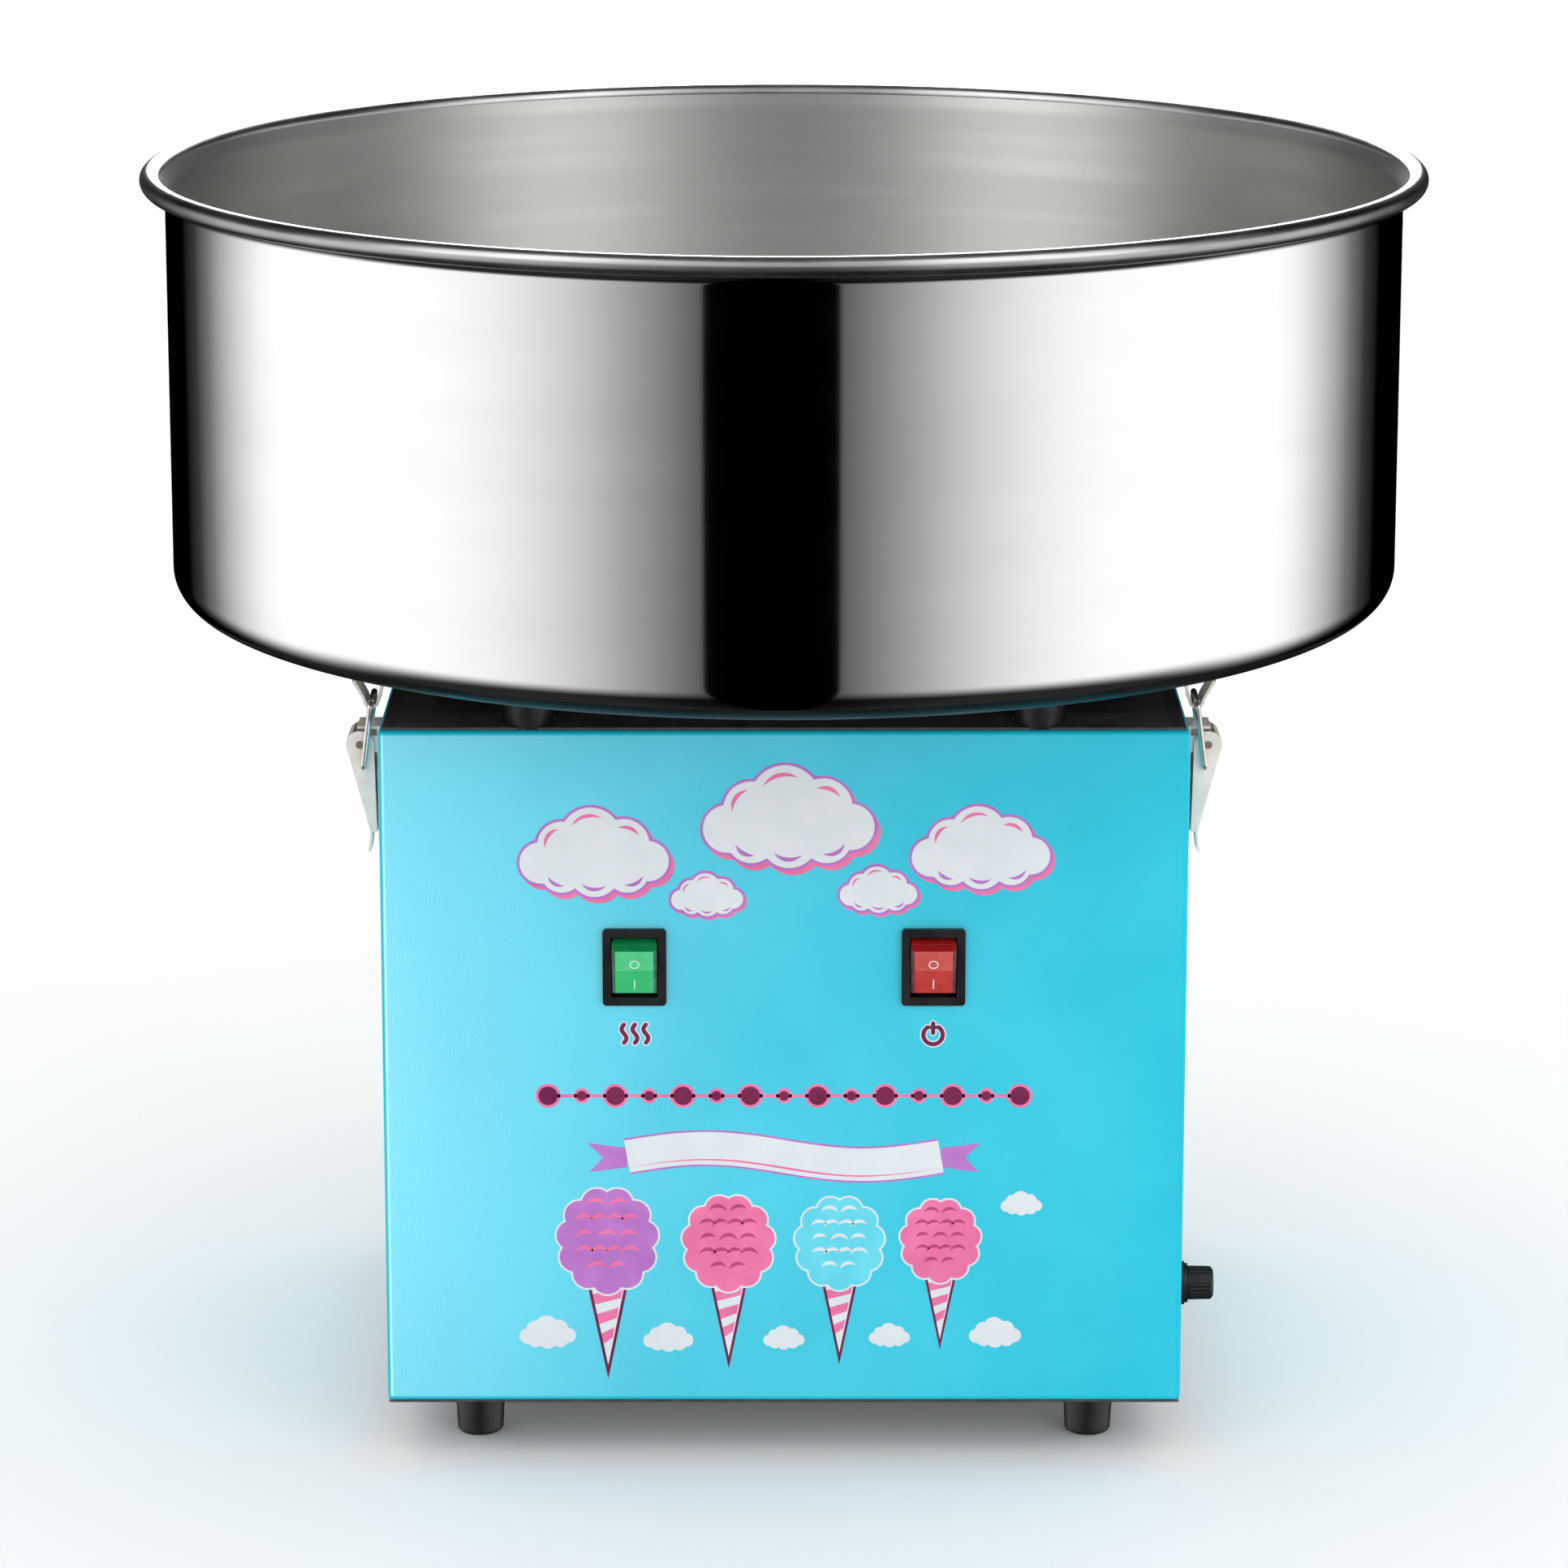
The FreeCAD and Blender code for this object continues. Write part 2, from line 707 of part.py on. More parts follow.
def power_inlet():
    """Appliance inlet on the back panel: a flange outside and a socket sunk into the cabinet."""
    body = new_body("power_inlet")
    x, z = dims.inlet_x, dims.inlet_z
    back = half_depth

    def around(half_w, half_h):
        return rectangle(x - half_w, z - half_h, x + half_w, z + half_h)

    pad(body, "flange", "XZ_Plane", [around(25, 11.5)], back, back + INLET_FLANGE)
    round_edges(
        body, "flange_corners", 4, lambda point, edge: abs(edge.Length - INLET_FLANGE) < 0.01)
    pad(body, "socket_block", "XZ_Plane", [around(13.3, 9.7)], back - 24, back)
    pocket(body, "socket", "XZ_Plane", [around(12, 8)], back - 15, back + 4)
    screw_holes = [(x + side * INLET_SCREW_SPREAD, z, INLET_SCREW_RADIUS) for side in (-1, 1)]
    pocket(body, "screw_holes", "XZ_Plane", screw_holes, back - 1, back + 4)
    pin_slots = [
        rectangle(x + dx - 1, z + dz - 2, x + dx + 1, z + dz + 2) for dx, dz in INLET_PINS.values()
    ]
    pocket(body, "pin_slots", "XZ_Plane", pin_slots, back - 25, back)
    return keep(body, "power_inlet")


def inlet_pins():
    """Three flat pins through the socket's floor."""
    x, z, back = dims.inlet_x, dims.inlet_z, half_depth
    pins = [
        box(f"{name}_pin", (x + dx - 1, back - 32, z + dz - 2), (x + dx + 1, back - 2, z + dz + 2))
        for name, (dx, dz) in INLET_PINS.items()
    ]
    return keep(joined("inlet_pins", pins, "Part::Compound"), "inlet_pins")


def panel_screws():
    """Screws round the back panel's edge and through the inlet's flange."""
    head, head_height, inlet_head, inlet_head_height, length = 3.4, 1.8, 2.9, 1.6, 9
    screws = []
    for x, z in panel_screw_spots():
        point = (x, half_depth + head_height, z)
        screws.append(
            screw("panel_screw", point, "-y", PANEL_SCREW_RADIUS, head, head_height, length))
    for side in (-1, 1):
        point = (dims.inlet_x + side * INLET_SCREW_SPREAD,
                 half_depth + INLET_FLANGE + inlet_head_height, dims.inlet_z)
        screws.append(screw(
            "inlet_screw", point, "-y", INLET_SCREW_RADIUS, inlet_head, inlet_head_height, length))
    return keep(joined("panel_screws", screws, "Part::Compound"), "panel_screws")


# ---------------------------------------------------------------- drive inside the cabinet

def motor():
    """Motor can with a neck on top and a blind bore for the shaft."""
    body = new_body("motor")
    bore = dims.shaft_radius + 0.06
    neck = 12
    profile = [
        (bore, dims.motor_base + 30), (bore, dims.motor_top + 4), (neck, dims.motor_top + 4),
        (neck, dims.motor_top), (dims.motor_radius - 3, dims.motor_top),
        (dims.motor_radius, dims.motor_top - 3), (dims.motor_radius, dims.motor_base + 8),
        (dims.motor_radius - 5, dims.motor_base), (0, dims.motor_base), (0, dims.motor_base + 30),
    ]
    revolve(body, "can", [profile])
    return keep(body, "motor")


def motor_bracket():
    """Bridge that hangs from the deck and carries the motor under its middle plate."""
    body = new_body("motor_bracket")
    half_span, half_y = 75, 34
    low, gauge, top = dims.bracket_height, dims.bracket_gauge, dims.shell_top
    bridge = [
        (-half_span - 16, top), (-half_span - 16, top - gauge), (-half_span, top - gauge),
        (-half_span, low), (half_span, low), (half_span, top - gauge), (half_span + 16, top - gauge),
        (half_span + 16, top), (half_span - gauge, top), (half_span - gauge, low + gauge),
        (-half_span + gauge, low + gauge), (-half_span + gauge, top),
    ]
    pad(body, "bridge", "XZ_Plane", [bridge], -half_y, half_y)
    holes = [(0, 0, 16)]
    for x_sign, y_sign in CORNERS.values():
        holes.append((x_sign * MOTOR_MOUNT, y_sign * MOTOR_MOUNT, MOTOR_MOUNT_BORE))
    pocket(body, "holes", "XY_Plane", holes, low - 1, low + gauge + 1)
    foot_holes = [(x, y, DECK_SCREW_RADIUS) for x, y in DECK_SCREW_SPOTS]
    pocket(body, "foot_holes", "XY_Plane", foot_holes, top - gauge - 1, top + 1)
    return keep(body, "motor_bracket")


def motor_bushes():
    """Rubber rings between the motor and its bracket."""
    radius = 6
    rings = [
        tube(f"bush_{corner}", radius, MOTOR_MOUNT_BORE, dims.bracket_height - dims.motor_top,
             (x_sign * MOTOR_MOUNT, y_sign * MOTOR_MOUNT, dims.motor_top))
        for corner, (x_sign, y_sign) in CORNERS.items()
    ]
    return keep(joined("motor_bushes", rings, "Part::Compound"), "motor_bushes")


def motor_bolts():
    """Bolts down through the bracket and the rubber rings."""
    shank, head, head_height = 2, 3.8, 2.6
    top = dims.bracket_height + dims.bracket_gauge + head_height
    bolts = [
        screw(f"bolt_{corner}", (x_sign * MOTOR_MOUNT, y_sign * MOTOR_MOUNT, top), "-z",
              shank, head, head_height, dims.bracket_gauge + dims.bracket_height - dims.motor_top)
        for corner, (x_sign, y_sign) in CORNERS.items()
    ]
    return keep(joined("motor_bolts", bolts, "Part::Compound"), "motor_bolts")


RING_LEVELS = (262, 278)
RING_WIDTH = 8
RING_GAUGE = 2
BRUSH_GAP = 0.3


def brush_block():
    """Insulating pillar on the bracket with a square pocket for each brush."""
    body = new_body("brush_block")
    base = dims.bracket_height + dims.bracket_gauge
    face = dims.ring_radius + 3
    foot, back = face + 12, face + 24
    side_view = [
        (foot, base), (back, base), (back, 292), (face, 292), (face, 256), (foot, 256),
    ]
    pad(body, "pillar", "XZ_Plane", [side_view], -8, 8)
    slots = [
        rectangle(-3.2, level + 0.8, 3.2, level + RING_WIDTH - 0.8) for level in RING_LEVELS
    ]
    pocket(body, "brush_slots", "YZ_Plane", slots, face - 1, face + 20)
    return keep(body, "brush_block")


def carbon_brushes():
    """A brush for each slip ring."""
    start = dims.ring_radius + BRUSH_GAP
    bricks = [
        box("brush", (start, -3, level + 1), (start + 12, 3, level + RING_WIDTH - 1))
        for level in RING_LEVELS
    ]
    return keep(joined("carbon_brushes", bricks, "Part::Compound"), "carbon_brushes")


def brush_springs():
    """Springs behind the brushes, each as one plain sleeve."""
    start = dims.ring_radius + BRUSH_GAP + 12
    coils = [
        tube("spring", 2.4, 1.9, 10.5, (start, 0, level + RING_WIDTH / 2), "x") for level in RING_LEVELS
    ]
    return keep(joined("brush_springs", coils, "Part::Compound"), "brush_springs")


def terminal_block():
    """Row of five screw terminals on the base plate."""
    low = dims.foot_height + 2 * dims.gauge
    y = half_depth - STRIP_INSET
    body = new_body("terminal_block")
    pad(body, "strip", "XY_Plane", [rectangle(-110, y, -62, y + 16)], low, low + 15)
    wells = [(-102 + 8 * step, y + 8, 2.2) for step in range(5)]
    pocket(body, "screw_wells", "XY_Plane", wells, low + 8, low + 16)
    return keep(body, "terminal_block")


def inner_wires():
    """Leads clipped inside the cabinet, from the inlet to the switches, fuse, motor and brushes."""
    back = half_depth
    low = dims.foot_height + 2 * dims.gauge
    strip_y = back - STRIP_INSET
    level = low + 6
    inlet_back = back - 34
    heater_x, power_x = -dims.switch_x, dims.switch_x
    tabs = front + 34
    routes = {
        "inlet_lead": [
            (dims.inlet_x, inlet_back, dims.inlet_z), (dims.inlet_x, inlet_back - 16, dims.inlet_z),
            (-90, strip_y + 38, level + 6), (-86, strip_y + 17, level)],
        "fuse_lead": [
            (-61, strip_y + 8, level), (-20, strip_y + 8, level), (40, 20, level),
            (90, -60, level + 2), (100, dims.fuse_y, dims.fuse_z),
            (half_width - 36, dims.fuse_y, dims.fuse_z)],
        "switch_lead": [
            (-80, strip_y - 1, level), (-80, 10, level), (-72, -60, level + 30),
            (heater_x, tabs + 22, dims.switch_z - 50), (heater_x, tabs + 8, dims.switch_z - 8),
            (heater_x, tabs, dims.switch_z)],
        "motor_lead": [
            (power_x, tabs, dims.switch_z), (power_x, tabs + 12, dims.switch_z - 4),
            (power_x, tabs + 24, dims.switch_z - 40), (power_x - 6, -44, 150),
            (dims.motor_radius + 12, -14, 140), (dims.motor_radius + 3, -6, 138)],
    }
    for name, points in routes.items():
        keep(wire(name, points, LEAD_RADIUS), name)


def deck_screws():
    """Screws that hold the deck and the bracket's feet down."""
    head, head_height, length = 3.6, 1.8, 6
    top = dims.shell_top + dims.deck_gauge + dims.deck_rise + head_height
    screws = [
        screw("deck_screw", (x, y, top), "-z", DECK_SCREW_RADIUS, head, head_height, length)
        for x, y in DECK_SCREW_SPOTS
    ]
    return keep(joined("deck_screws", screws, "Part::Compound"), "deck_screws")


# ---------------------------------------------------------------- spinning head

def spinner_shaft():
    """Shaft from the motor's bore up into the head."""
    low = dims.motor_base + 34
    top = dims.head_base + 12
    rod = cylinder("shaft_rod", dims.shaft_radius, top - low, (0, 0, low))
    return keep(rod, "spinner_shaft")


def ring_carrier():
    """Insulating sleeve on the shaft that carries the slip rings."""
    base, length = 257, 34
    sleeve = tube(
        "ring_carrier", dims.ring_radius - RING_GAUGE, dims.shaft_radius, length, (0, 0, base))
    return keep(sleeve, "ring_carrier")


def slip_rings():
    """Copper rings that carry the heater's current."""
    rings = [
        tube(f"slip_ring_{level}", dims.ring_radius, dims.ring_radius - RING_GAUGE, RING_WIDTH,
             (0, 0, level))
        for level in RING_LEVELS
    ]
    return keep(joined("slip_rings", rings, "Part::Compound"), "slip_rings")


def stud_spots(count=3):
    angles = [2 * math.pi * (number + 0.25) / count for number in range(count)]
    return [(HEAD_STUD_RING * math.cos(turn), HEAD_STUD_RING * math.sin(turn)) for turn in angles]


def head_hub():
    """Hub on the shaft's end that the head is bolted to."""
    body = new_body("head_hub")
    neck, flange, low, neck_top, flange_low = 14, 24, 291, 336, 339
    profile = [
        (dims.shaft_radius, low), (neck, low), (neck, neck_top), (flange, flange_low),
        (flange, dims.head_base), (dims.shaft_radius, dims.head_base),
    ]
    revolve(body, "turned", [profile])
    return keep(body, "head_hub")


def head_base():
    """Pan under the head: a floor with a short turned-up lip."""
    body = new_body("head_base")
    low, rim, lip = dims.head_base, dims.head_radius, 1.4
    floor, lip_top = low + HEAD_FLOOR, low + 7
    profile = [
        (dims.shaft_radius, low), (rim - 3, low), (rim, floor), (rim, lip_top), (rim - lip, lip_top),
        (rim - lip, floor), (dims.shaft_radius, floor),
    ]
    revolve(body, "spun", [profile])
    holes = [(x, y, HEAD_STUD_RADIUS) for x, y in stud_spots()]
    pocket(body, "stud_holes", "XY_Plane", holes, low - 1, low + 4)
    return keep(body, "head_base")


def sugar_cup():
    """Inner well that holds the sugar: a floor and a wall with slots that feed the heater."""
    body = new_body("sugar_cup")
    floor = dims.head_base + HEAD_FLOOR
    wall, gauge, top = 36, 1.2, dims.head_top - 3
    profile = [
        (dims.shaft_radius, floor), (wall, floor), (wall, top), (wall - gauge, top),
        (wall - gauge, floor + gauge), (dims.shaft_radius, floor + gauge),
    ]
    revolve(body, "cup", [profile])
    slot = pocket(
        body, "slot", "YZ_Plane", [rectangle(-2.5, floor + 4, 2.5, floor + 8)], 33, 38)
    repeat_round(body, "slots", slot, 12)
    return keep(body, "sugar_cup")


def heater_element():
    """Resistance ribbon folded round inside the screen."""
    outer, inner, height = 52.4, 51.4, 26
    ring = tube("heater_element", outer, inner, height, (0, 0, dims.head_base + 6))
    return keep(ring, "heater_element")


def ceramic_posts():
    """Insulators that hold the ribbon off the base."""
    count, ring, radius, height = 6, 48, 2.6, 31
    floor = dims.head_base + HEAD_FLOOR
    posts = []
    for number in range(count):
        angle = 2 * math.pi * (number + 0.5) / count
        base = (ring * math.cos(angle), ring * math.sin(angle), floor)
        posts.append(cylinder(f"ceramic_{number}", radius, height, base))
    return keep(joined("ceramic_posts", posts, "Part::Compound"), "ceramic_posts")


def floss_screen():
    """Slotted band that the melted sugar is thrown through."""
    body = new_body("floss_screen")
    low, top = dims.head_base + HEAD_FLOOR, dims.head_top - 2.4
    outer = dims.head_radius - 1.6
    inner = outer - 0.8
    revolve(body, "band", [rectangle(inner, low, outer, top)])
    slot_half, margin = 0.9, 6
    slot = pocket(
        body, "slot", "YZ_Plane",
        [rectangle(-slot_half, low + margin, slot_half, dims.head_top - margin)], outer - 2, outer + 1)
    repeat_round(body, "slots", slot, 60)
    return keep(body, "floss_screen")


def head_cover():
    """Lid of the head: a flat ring with a sloping mouth that sugar is poured into."""
    body = new_body("head_cover")
    top, rim, mouth = dims.head_top, dims.head_radius, dims.mouth_radius
    profile = [
        (mouth, top - 2), (mouth + 10, top), (rim - 0.8, top), (rim, top - 0.8), (rim, top - 6),
        (rim - 1.2, top - 6), (rim - 1.2, top - 1.6), (mouth + 10.2, top - 1.6), (mouth, top - 3.6),
    ]
    revolve(body, "spun", [profile])
    holes = [(x, y, HEAD_STUD_RADIUS) for x, y in stud_spots()]
    pocket(body, "stud_holes", "XY_Plane", holes, top - 3, top + 1)
    return keep(body, "head_cover")


def head_screws():
    """Three long studs with dome nuts that clamp the cover down on the base."""
    nut = 4
    length = dims.head_top - dims.head_base
    studs = [
        screw("head_stud", (x, y, dims.head_top + nut), "-z", HEAD_STUD_RADIUS, nut, nut, length)
        for x, y in stud_spots()
    ]
    return keep(joined("head_screws", studs, "Part::Compound"), "head_screws")


# ---------------------------------------------------------------- bowl

def floss_bowl():
    """Spun bowl: flat floor with a turned-up centre hole, straight wall and rolled rim."""
    body = new_body("floss_bowl")
    gauge, outer, floor = dims.bowl_gauge, dims.bowl_radius, dims.bowl_floor
    inner = outer - gauge
    hole, collar_top = dims.collar_radius, dims.bowl_floor + dims.collar_height
    bead_side = dims.bead_ring_radius - dims.bead_radius / 2
    profile = [
        (hole, floor), (outer, floor), (outer, dims.bowl_wall_top), (bead_side, dims.bead_height - 2),
        (bead_side, dims.bead_height + 1), (inner, dims.bowl_wall_top), (inner, floor + gauge),
        (hole + gauge, floor + gauge), (hole + gauge, collar_top), (hole, collar_top),
    ]
    revolve(body, "pan", [profile])

    def at(radius, height):
        return lambda point, edge: (
            abs(math.hypot(point.x, point.y) - radius) < 0.01 and abs(point.z - height) < 0.01)

    outside = at(outer.value, floor.value)
    inside = at(inner.value, floor.value + gauge.value)
    round_edges(body, "outer_corner", dims.bowl_corner, outside)
    round_edges(body, "inner_corner", dims.bowl_corner - gauge, inside)
    bead = [(dims.bead_ring_radius, dims.bead_height, dims.bead_radius)]
    revolve(body, "rolled_rim", bead)
    return keep(body, "floss_bowl")


def side_turn(x_sign):
    """Parts drawn for the right-hand side wall are turned half round for the left-hand one."""
    return Rotation(Vector(0, 0, 1), 0 if x_sign > 0 else 180)


def bowl_hooks():
    """J-shaped catches spot-welded under the bowl, one over each latch."""
    inner, outer = dims.hook_radius, dims.hook_radius + dims.hook_gauge
    half = dims.hook_width / 2
    top = dims.bowl_floor - dims.bar_height
    lean, lean_rise, tab = 1.6, 6, 13
    lip_out, lip_rise = 4.3, 8.2
    drop = [
        (-inner, 0), (-inner - lean, lean_rise), (-inner - lean, top), (-outer - lean - tab, top),
        (-outer - lean - tab, top - dims.hook_gauge), (-outer - lean, top - dims.hook_gauge),
        (-outer - lean, lean_rise), (-outer, 0),
    ]
    lip = [(inner, 0), (inner + lip_out, lip_rise), (outer + lip_out, lip_rise - 0.5), (outer, 0)]
    hooks = []
    for corner, (x_sign, y_sign) in CORNERS.items():
        body = new_body(f"hook_{corner}")
        pad(body, f"ring_{corner}", "XZ_Plane", [(0, 0, outer), (0, 0, inner)], -half, half)
        upper = rectangle(-outer - 1, 0, outer + 1, outer + 1)
        pocket(body, f"open_{corner}", "XZ_Plane", [upper], -half - 1, half + 1)
        pad(body, f"drop_{corner}", "XZ_Plane", [drop], -half, half)
        pad(body, f"lip_{corner}", "XZ_Plane", [lip], -half, half)
        place(body, x_sign * (half_width + dims.bar_out), y_sign * dims.latch_y, dims.bar_height,
              side_turn(x_sign))
        hooks.append(body)
    return keep(joined("bowl_hooks", hooks, "Part::Compound"), "bowl_hooks")


# ---------------------------------------------------------------- latches

LATCH_PLATE = 1.2
LEVER_HEAD = 5.5
LEVER_LENGTH = 35.2
FOOT_DROP = Vector(-1.4, 0, -8.8)


def at_pivot(body, x_sign, y_sign):
    """Put a part drawn round the lever's pivot at one of the four latches."""
    x = x_sign * (half_width + dims.latch_out)
    return place(body, x, y_sign * dims.latch_y, dims.latch_height, side_turn(x_sign))


def latch_bases():
    """Riveted plates with two ears for the lever's pin and a tongue over its head."""
    wall = -dims.latch_out
    ear_out = dims.lever_width / 2 - dims.lever_gauge - 0.4
    ear_in = ear_out - LATCH_PLATE
    tongue, plate_foot, eye = 7.3, -40, 3.4
    bases = []
    for corner, (x_sign, y_sign) in CORNERS.items():
        body = new_body(f"base_{corner}")
        plate = rectangle(wall, plate_foot, wall + LATCH_PLATE, tongue)
        pad(body, f"plate_{corner}", "XZ_Plane", [plate], -ear_out, ear_out)
        shelf = rectangle(wall, tongue - LATCH_PLATE, 1, tongue)
        pad(body, f"tongue_{corner}", "XZ_Plane", [shelf], -ear_out, ear_out)
        for name, low, high in (("near", -ear_out, -ear_in), ("far", ear_in, ear_out)):
            arm = rectangle(wall, -eye, 0, eye)
            pad(body, f"{name}_arm_{corner}", "XZ_Plane", [arm], low, high)
            pad(body, f"{name}_eye_{corner}", "XZ_Plane", [(0, 0, eye)], low, high)
        bore = [(0, 0, dims.pin_radius + 0.02)]
        pocket(body, f"bore_{corner}", "XZ_Plane", bore, -ear_out - 1, ear_out + 1)
        holes = [(0, -drop, RIVET_RADIUS) for drop in RIVET_DROPS]
        pocket(body, f"rivet_holes_{corner}", "YZ_Plane", holes, wall - 1, wall + LATCH_PLATE + 1)
        bases.append(at_pivot(body, x_sign, y_sign))
    return keep(joined("latch_bases", bases, "Part::Compound"), "latch_bases")


def latch_pins():
    """Pins that the levers turn on."""
    length = dims.lever_width + 0.5
    pins = []
    for corner, (x_sign, y_sign) in CORNERS.items():
        start = (x_sign * (half_width + dims.latch_out), y_sign * dims.latch_y - length / 2,
                 dims.latch_height)
        pins.append(cylinder(f"pin_{corner}", dims.pin_radius, length, start, "y"))
    return keep(joined("latch_pins", pins, "Part::Compound"), "latch_pins")


def latch_rivets():
    """Two blind rivets through each latch plate and the side wall behind it."""
    head, head_height, length = 2.6, 0.9, 6
    face = LATCH_PLATE + head_height
    rivets = []
    for x_sign, y_sign in CORNERS.values():
        for drop in RIVET_DROPS:
            point = (x_sign * (half_width + face), y_sign * dims.latch_y, dims.latch_height - drop)
            toward = "-x" if x_sign > 0 else "+x"
            rivets.append(screw("rivet", point, toward, RIVET_RADIUS, head, head_height, length))
    return keep(joined("latch_rivets", rivets, "Part::Compound"), "latch_rivets")


def latch_lever(corner, x_sign, y_sign):
    """Tapered channel lever: round head on the pin, web outside, finger tab at the tip."""
    body = new_body(f"latch_lever_{corner}")
    half = dims.lever_width / 2
    inside = half - dims.lever_gauge
    tip_out, tip_in = -3.7, -6.3
    tip = -LEVER_LENGTH
    blade = [(LEVER_HEAD, 0), (tip_out, tip), (tip_in, tip), (-LEVER_HEAD, 0)]
    pad(body, "head", "XZ_Plane", [(0, 0, LEVER_HEAD)], -half, half)
    pad(body, "blade", "XZ_Plane", [blade], -half, half)
    web = dims.lever_gauge
    slope = (LEVER_HEAD - tip_out) / LEVER_LENGTH
    over = 2
    hollow = [
        (LEVER_HEAD - web, 0), (tip_out - web - over * slope, tip - over),
        (-LEVER_HEAD - 1, tip - over), (-LEVER_HEAD - 1, LEVER_HEAD + 1), (2.2, LEVER_HEAD + 1),
        (3.4, 2.6),
    ]
    pocket(body, "channel", "XZ_Plane", [hollow], -inside, inside)
    pin_hole = (0, 0, dims.pin_radius + 0.05)
    foot_hole = (FOOT_DROP.x, FOOT_DROP.z, dims.wire_radius + 0.05)
    pocket(body, "pin_hole", "XZ_Plane", [pin_hole, foot_hole], -half - 1, half + 1)
    tab = [
        (tip_out, tip + 0.5), (tip_out - 0.9, tip + 0.5), (-3.6, tip - 8.2), (-2.2, tip - 9),
        (-2.6, tip - 7.4),
    ]
    pad(body, "finger_tab", "XZ_Plane", [tab], -half + 3, half - 3)
    at_pivot(body, x_sign, y_sign)
    return keep(body, f"latch_lever_{corner}")


def latch_bail(corner, x_sign, y_sign):
    """Wire loop hooked into the lever's sides, with its bar in the bowl's catch."""
    leg = dims.lever_width.value / 2 + 1.9
    foot = dims.lever_width.value / 2 - dims.lever_gauge.value - 0.3
    bar = Vector((dims.bar_out - dims.latch_out).value, 0, (dims.bar_height - dims.latch_height).value)
    down, up = FOOT_DROP, bar
    points = [
        (down.x, -foot, down.z), (down.x, -leg, down.z), (up.x, -leg, up.z), (up.x, leg, up.z),
        (down.x, leg, down.z), (down.x, foot, down.z),
    ]
    loop = wire(f"latch_bail_{corner}", points, dims.wire_radius.value, bends=(1.5, 2.6, 2.6, 1.5))
    at_pivot(loop, x_sign, y_sign)
    return keep(loop, f"latch_bail_{corner}")


# ---------------------------------------------------------------- assembly

def build():
    """Every sub-part, from the feet up to the bowl and its latches."""
    cabinet_shell()
    back_panel()
    base_plate()
    deck_plate()
    for corner, (x_sign, y_sign) in CORNERS.items():
        rubber_foot(corner, x_sign, y_sign)
    foot_screws()
    bowl_posts()
    for name, side in PANEL_SWITCHES.items():
        switch_housing(name, side)
        rocker(name, side)
    switch_terminals()
    fuse_holder()
    fuse_nut()
    fuse_tube()
    fuse_cap()
    power_inlet()
    inlet_pins()
    panel_screws()
    motor()
    motor_bracket()
    motor_bushes()
    motor_bolts()
    brush_block()
    carbon_brushes()
    brush_springs()
    terminal_block()
    inner_wires()
    deck_screws()
    spinner_shaft()
    ring_carrier()
    slip_rings()
    head_hub()
    head_base()
    sugar_cup()
    heater_element()
    ceramic_posts()
    floss_screen()
    head_cover()
    head_screws()
    floss_bowl()
    bowl_hooks()
    latch_bases()
    latch_pins()
    latch_rivets()
    for corner, (x_sign, y_sign) in CORNERS.items():
        latch_lever(corner, x_sign, y_sign)
        latch_bail(corner, x_sign, y_sign)


def write_pieces():
    """Check every object and sub-part, then write each sub-part to its own STEP file."""
    doc.recompute()
    for item in doc.Objects:
        assert not {"Invalid", "Error"} & set(item.State), f"{item.Label} did not build"
    labels = [piece.Label for piece in pieces]
    assert len(set(labels)) == len(labels), "two pieces share a name"
    os.makedirs("parts", exist_ok=True)
    for piece in pieces:
        shape = piece.Shape
        assert not shape.isNull() and shape.isValid(), f"{piece.Label} has no sound shape"
        shape.exportStep(f"parts/{piece.Label}.step")
        print(f"{piece.Label}: {len(shape.Solids)} solids, {shape.Volume / 1000:.2f} cm3")


build()
write_pieces()
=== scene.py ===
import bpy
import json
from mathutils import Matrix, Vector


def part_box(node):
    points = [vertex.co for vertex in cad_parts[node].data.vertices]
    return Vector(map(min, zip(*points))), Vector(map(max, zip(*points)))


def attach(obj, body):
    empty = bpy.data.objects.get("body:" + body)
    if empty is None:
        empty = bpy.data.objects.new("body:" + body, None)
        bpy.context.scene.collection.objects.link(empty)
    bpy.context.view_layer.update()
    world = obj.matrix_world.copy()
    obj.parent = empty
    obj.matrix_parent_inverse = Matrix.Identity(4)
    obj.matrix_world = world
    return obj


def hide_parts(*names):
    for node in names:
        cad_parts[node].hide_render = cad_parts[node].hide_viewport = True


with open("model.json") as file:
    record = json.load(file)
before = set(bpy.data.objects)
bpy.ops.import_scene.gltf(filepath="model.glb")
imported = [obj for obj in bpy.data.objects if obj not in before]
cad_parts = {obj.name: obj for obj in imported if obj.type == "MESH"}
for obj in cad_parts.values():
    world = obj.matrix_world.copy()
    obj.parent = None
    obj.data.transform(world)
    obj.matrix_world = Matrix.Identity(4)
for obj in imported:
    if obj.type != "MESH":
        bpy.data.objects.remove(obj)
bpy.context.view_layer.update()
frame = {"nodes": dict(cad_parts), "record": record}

import json
from math import acos, atan2, cos, pi, radians, sin, sqrt, tau

import bmesh
import bpy
from mathutils import Vector
from mathutils.geometry import tessellate_polygon

MM = 0.001
NODES = frame["nodes"]
CORNERS = ("front_left", "front_right", "back_left", "back_right")
SAME_PLACE = 1e-6       # metres between points that count as one


# ---------------------------------------------------------------- camera, light and floor

# The camera stands in front of the machine and looks down at it; a negative shift moves the frame down
CAMERA_PLACE = (0, -2.2, 0.802)
CAMERA_DOWN = 12.14
CAMERA_LENS = 125.3
CAMERA_SENSOR = 36
CAMERA_SHIFT = -0.13


